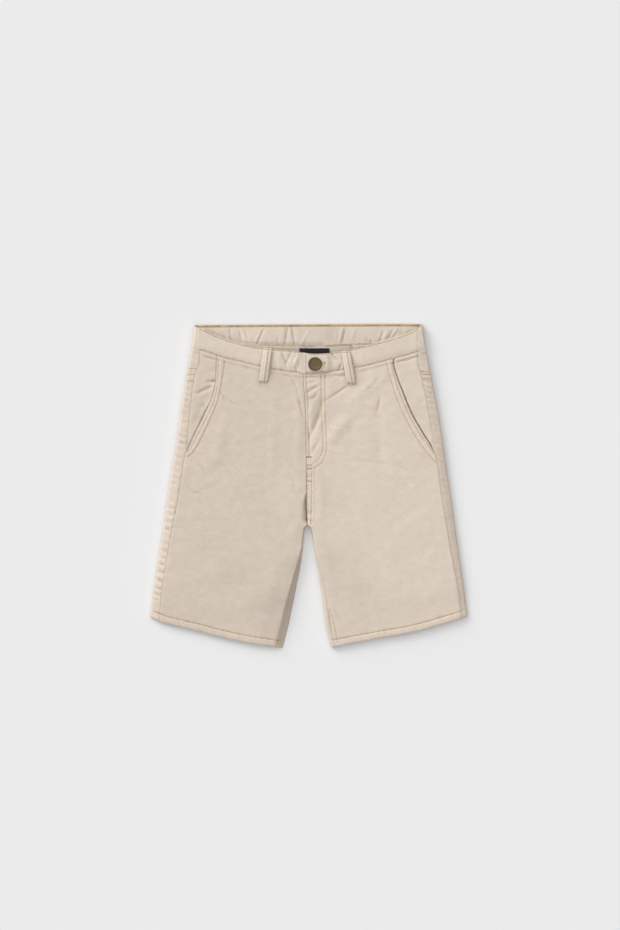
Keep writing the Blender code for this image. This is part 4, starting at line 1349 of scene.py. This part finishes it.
# %% Shader sums
class Wire:
    """The output of a node, with sums written as sums."""

    def __init__(self, finish, socket):
        self.finish, self.socket = finish, socket

    def sum(self, operation, *values):
        return self.finish.node("ShaderNodeMath", {"operation": operation}, *values)

    def __add__(self, other):
        return self.sum("ADD", self, other)

    def __sub__(self, other):
        return self.sum("SUBTRACT", self, other)

    def __rsub__(self, other):
        return self.sum("SUBTRACT", other, self)

    def __mul__(self, other):
        return self.sum("MULTIPLY", self, other)

    __radd__, __rmul__ = __add__, __mul__

    def sine(self):
        return self.sum("SINE", self)

    def clamped(self):
        return self.finish.node("ShaderNodeClamp", {}, self, 0.0, 1.0)


class Finish:
    """One material: its nodes, made in the order in which they are used."""

    def __init__(self, name):
        self.material = bpy.data.materials.new(name)
        self.material.use_nodes = True
        self.tree = self.material.node_tree
        self.shader = self.tree.nodes["Principled BSDF"]

    def node(self, kind, settings, *values, output=0, **named):
        """A node with its settings made first, then its sockets by order or by name."""
        made = self.tree.nodes.new(kind)
        for setting, value in settings.items():
            setattr(made, setting, value)
        for key, value in list(enumerate(values)) + [(k.replace("_", " "), v) for k, v in named.items()]:
            self.plug(made.inputs[key], value)
        return Wire(self, made.outputs[output])

    def plug(self, socket, value):
        if isinstance(value, Wire):
            self.tree.links.new(value.socket, socket)
        else:
            socket.default_value = value

    def mixed(self, share, first, second):
        """Two colours mixed by a share."""
        made = self.tree.nodes.new("ShaderNodeMix")
        made.data_type = "RGBA"
        self.plug(made.inputs[0], share)
        self.plug(made.inputs[6], first)
        self.plug(made.inputs[7], second)
        return Wire(self, made.outputs[2])

    def noise(self, where, scale, detail=2.0, stretch=(1, 1, 1)):
        """Noise from 0 to 1; a scale of 1000 makes bumps of about a millimetre."""
        placed = self.node("ShaderNodeVectorMath", {"operation": "MULTIPLY"}, where, stretch)
        return self.node("ShaderNodeTexNoise", {}, Vector=placed, Scale=scale, Detail=detail)

    def bump(self, height, strength, distance):
        return self.node("ShaderNodeBump", {}, Strength=strength, Distance=distance, Height=height)

    def set(self, **values):
        for name, value in values.items():
            self.plug(self.shader.inputs[name.replace("_", " ")], value)
        return self.material


def linear(red, green, blue):
    """A colour as seen on a screen, 0 to 255, made linear for the shader."""
    return tuple(((c / 255 + 0.055) / 1.055) ** 2.4 for c in (red, green, blue)) + (1.0,)


# %% [markdown]
# Bull twill is woven with a fine slanting rib. Its yarns are uneven, so single threads show as short pale
# or dark streaks both ways, and the dye took a little more in some places than in others; some of those
# darker places are painted shade, where the cloth slopes away from the light. The seams' hollows are painted
# a warm dark brown as painted shade. All of that is in the twill's pattern, read along the cut cloth.

# %% Twill
PAINTED_HOLLOW_SHADE = linear(176, 150, 120)     # painted shade: the warm dark colour of the seams' hollows and creases


def twill(name, pale, deep, rib_depth=0.00012):
    """Twill between two tones: its yarns and ribs, ridges painted pale as rubbed wear and painted highlight,
    hollows painted darker as painted shade, and spots painted darker or paler, partly dye and partly painted
    shade.
    """
    finish = Finish(name)
    darkest_dye_and_shade = tuple(0.80 * value for value in deep[:3]) + (1.0,)
    cut = finish.node("ShaderNodeAttribute", {"attribute_name": "cut"}, output=1)
    split = finish.node("ShaderNodeSeparateXYZ", {}, cut)
    down = Wire(finish, split.socket.node.outputs[1])
    rib = ((split * 0.8 + down) * (2 * math.pi / 0.0011)).sine() * 0.5 + 0.5
    weft = finish.noise(cut, 1.0, 3.0, (260.0, 1500.0, 1.0))
    warp = finish.noise(cut, 1.0, 3.0, (1500.0, 200.0, 1.0))
    flecks = finish.noise(cut, 620.0, 3.0)
    patches = finish.noise(cut, 85.0, 3.0)
    clouds = finish.noise(cut, 22.0, 2.0)
    paleness = finish.node("ShaderNodeAttribute", {"attribute_name": "paleness"}, output=2)
    dye_and_shade_share = finish.node("ShaderNodeAttribute", {"attribute_name": "dye_and_shade"}, output=2)
    yarns = weft * 0.7 + warp * 0.7 + flecks * 0.45 + patches * 0.35 + clouds * 0.2 + rib * 0.10
    # paleness from the relief: ridges painted pale, partly rubbed wear and partly painted highlight; hollows
    # painted darker as painted shade
    tone = yarns + paleness * 0.5 + dye_and_shade_share.clamped() - 1.02
    # painted shade: the deepest hollows are painted towards a warm dark brown
    painted_shade_share = ((0.32 - paleness) * 2.6).clamped() * 0.6
    cloth = finish.mixed(tone.clamped(), deep, pale)
    # where dye_and_shade is below 0 the cloth is painted darker: partly dye, partly painted shade
    cloth = finish.mixed((dye_and_shade_share * -1.0).clamped(), cloth, darkest_dye_and_shade)
    colour = finish.mixed(painted_shade_share, cloth, PAINTED_HOLLOW_SHADE)
    crumple = finish.noise(cut, 1.0, 2.0, (330.0, 220.0, 1.0))
    weave = rib * 0.5 + weft * 0.8 + warp * 0.8 + flecks * 0.5 + crumple * 2.4
    normal = finish.bump(weave, 0.75, rib_depth)
    finish.set(Sheen_Weight=0.08, Sheen_Roughness=0.5)
    return finish.set(Base_Color=colour, Roughness=0.92, Normal=normal)


outside = twill("beige twill", linear(224, 210, 195), linear(196, 181, 165))
# The left front's twill is a little paler: partly a real difference between the cut panels, partly painted
# light standing in for the brighter light on the left leg.
outside_left_painted_paler = twill("beige twill, left front", linear(229, 215, 200), linear(202, 187, 171))
reverse = twill("twill, reverse side", linear(221, 208, 194), linear(190, 176, 161))
inside_back = twill("waistband, reverse side", linear(225, 211, 197), linear(198, 184, 169))
band_cloth = twill("waistband twill", linear(228, 215, 200), linear(202, 188, 172))
tape = twill("woven zip tape", linear(205, 185, 160), linear(180, 160, 136), 0.0002)
print("nodes in a twill:", len(outside.node_tree.nodes))


# %% Thread, label and brass
def spun_thread(name, pale, deep):
    """Three-ply thread: a fine twist, and wear that left some stitches paler."""
    finish = Finish(name)
    place = finish.node("ShaderNodeTexCoord", {}, output=3)
    paleness = finish.noise(place, 230.0, 3.0)
    ply = finish.noise(place, 2600.0, 1.0)
    colour = finish.mixed((paleness * 3.0 + ply * 0.6 - 1.3).clamped(), deep, pale)
    return finish.set(Base_Color=colour, Roughness=0.7, Normal=finish.bump(ply, 0.6, 0.00008))


def label_ribbon(name):
    """Navy satin ribbon with a fine woven rib."""
    finish = Finish(name)
    cut = finish.node("ShaderNodeAttribute", {"attribute_name": "cut"}, output=1)
    ribs = finish.noise(cut, 1.0, 1.0, (300.0, 3500.0, 1.0))
    colour = finish.mixed(ribs, linear(34, 33, 40), linear(52, 50, 58))
    normal = finish.bump(ribs, 0.5, 0.0001)
    return finish.set(Base_Color=colour, Roughness=0.9, Specular_IOR_Level=0.15, Normal=normal)


def aged_brass(name):
    """Brass gone olive brown, rubbed paler and rougher in patches; the rim is painted darker all round,
    partly patina and partly painted shade.
    """
    finish = Finish(name)
    place = finish.node("ShaderNodeTexCoord", {}, output=3)
    stain = finish.noise(place, 420.0, 4.0)
    grain = finish.noise(place, 3200.0, 2.0)
    centre = (BUTTON_CENTRE[0] * MM, BUTTON_CENTRE[1] * MM, (BUTTON_FACE + 2.0) * MM)
    radius = finish.node("ShaderNodeVectorMath", {"operation": "DISTANCE"}, place, centre, output=1)
    # patina and painted shade: the rolled rim and its outer slope are painted darker than the face
    rim_patina_and_shade = ((radius - 0.0074) * 1600.0).clamped()
    face = finish.mixed((stain * 1.3 + grain * 0.5 - 0.4).clamped(), linear(86, 70, 50), linear(130, 110, 80))
    edge = finish.mixed((stain * 1.2 - 0.1).clamped(), linear(62, 50, 36), linear(104, 86, 62))
    rough = stain * 0.3 + 0.38
    colour = finish.mixed(rim_patina_and_shade, face, edge)
    normal = finish.bump(grain, 0.35, 0.00006)
    return finish.set(Base_Color=colour, Roughness=rough, Metallic=0.7, Normal=normal)


ochre = spun_thread("ochre topstitching thread", linear(208, 174, 122), linear(156, 120, 74))
worn_ochre = spun_thread("worn ochre thread", linear(214, 190, 154), linear(184, 154, 114))
beige_thread = spun_thread("faded thread", linear(216, 198, 172), linear(192, 168, 136))
THREADS = {"fine": beige_thread, "fronts": worn_ochre}
navy = label_ribbon("navy label ribbon")
brass = aged_brass("aged brass")
print(len(bpy.data.materials), "materials")

# %% [markdown]
# ## Put the finishes on
#
# Each sheet stands for one solid of the imported model, and its flat size is the size of the cut that shows,
# measured round the tube. The stitches and the button ride on the same single body, because nothing in
# flat cloth turns on a hinge.

LEG_CLOTH, LEFT_FRONT_CLOTH = ("twill", outside, reverse), ("twill", outside_left_painted_paler, reverse)
BAND_CLOTH, BACK_BAND_CLOTH = ("band_twill", band_cloth, reverse), ("band_twill", band_cloth, inside_back)
CUTS = {
    # sheet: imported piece, slot and finishes, cut width and length, cut area in m2, what it lies on
    "back_right": ("back_panel_right", LEG_CLOTH, (0.222, 0.398), 0.0720, "floor"),
    "back_left": ("back_panel_left", LEG_CLOTH, (0.218, 0.398), 0.0705, "floor"),
    "front_right": ("front_panel_right", LEG_CLOTH, (0.176, 0.378), 0.0545, "back_right"),
    "front_left": ("front_panel_left", LEFT_FRONT_CLOTH, (0.190, 0.370), 0.0555, "back_left"),
    "facing_right": ("pocket_facing_right", LEG_CLOTH, (0.038, 0.132), 0.0038, "back_right"),
    "facing_left": ("pocket_facing_left", LEFT_FRONT_CLOTH, (0.042, 0.132), 0.0041, "back_left"),
    "back_band": ("waistband_back", BACK_BAND_CLOTH, (0.345, 0.031), 0.0094, "floor"),
    "band_right": ("waistband_front_right", BAND_CLOTH, (0.164, 0.027), 0.0039, "back_band"),
    "band_left": ("waistband_front_left", BAND_CLOTH, (0.150, 0.027), 0.0036, "band_right"),
    "loop_right": ("belt_loop_right", BAND_CLOTH, (0.0125, 0.048), None, "band_right"),
    "loop_left": ("belt_loop_left", BAND_CLOTH, (0.0125, 0.046), None, "band_left"),
    "label": ("waist_label", ("label_cloth", navy, navy), (0.039, 0.019), None, "back_right"),
    "zip": ("fly_zip", ("zip_tape", tape, tape), (0.024, 0.113), None, "back_right"),
}

table_top = bmesh.new()
bmesh.ops.create_grid(table_top, x_segments=1, y_segments=1, size=4.0)
floor = sheets["floor"] = add("floor", finished_mesh("floor", table_top))
floor.data.materials.append(Finish("pale table").set(Base_Color=linear(232, 232, 232), Roughness=0.9))
for key, (node, (slot, face, back), flat, area, under) in CUTS.items():
    sheet = sheets[key]
    sheet.data.materials.append(face)
    sheet.data.materials.append(back)
    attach(sheet, "root")
    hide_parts(node)
print(len(CUTS), "sheets of cloth declared")

for key, piece in stitching.items():
    piece.data.materials.append(THREADS.get(key, ochre))
    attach(piece, "root")
button.data.materials.append(brass)
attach(button, "root")
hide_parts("button")
print(len(stitching), "pieces of stitching and the button declared")

# %% [markdown]
# ## Light
#
# A product table is lit by large soft lamps far away, so that the table is evenly bright. The key comes from
# the upper left and stands low: the folded edges on the right throw a short soft shadow, and every crease
# shows one bright flank. A broad top light fills the rest.

# %% Lamps
LAMPS = (
    # name, where it comes from (x, y, z), how broad it is in degrees, strength
    ("low key light", (-0.664, 0.664, 0.342), 30, 1.84),
    ("broad top light", (-0.12, 0.12, 1), 130, 2.40),
)
for name, towards, breadth, strength in LAMPS:
    lamp_data = bpy.data.lights.new(name, "SUN")
    lamp_data.angle = math.radians(breadth)
    lamp_data.energy = strength
    add(name, lamp_data).rotation_euler = (-Vector(towards)).to_track_quat("-Z", "Y").to_euler()
world = bpy.data.worlds.new("soft room")
world.use_nodes = True
sky = world.node_tree.nodes["Background"].inputs
sky["Color"].default_value, sky["Strength"].default_value = (1.0, 1.0, 1.0, 1.0), 0.07
bpy.context.scene.world = world
bpy.context.scene.view_settings.view_transform = "Standard"
print([lamp[0] for lamp in LAMPS])
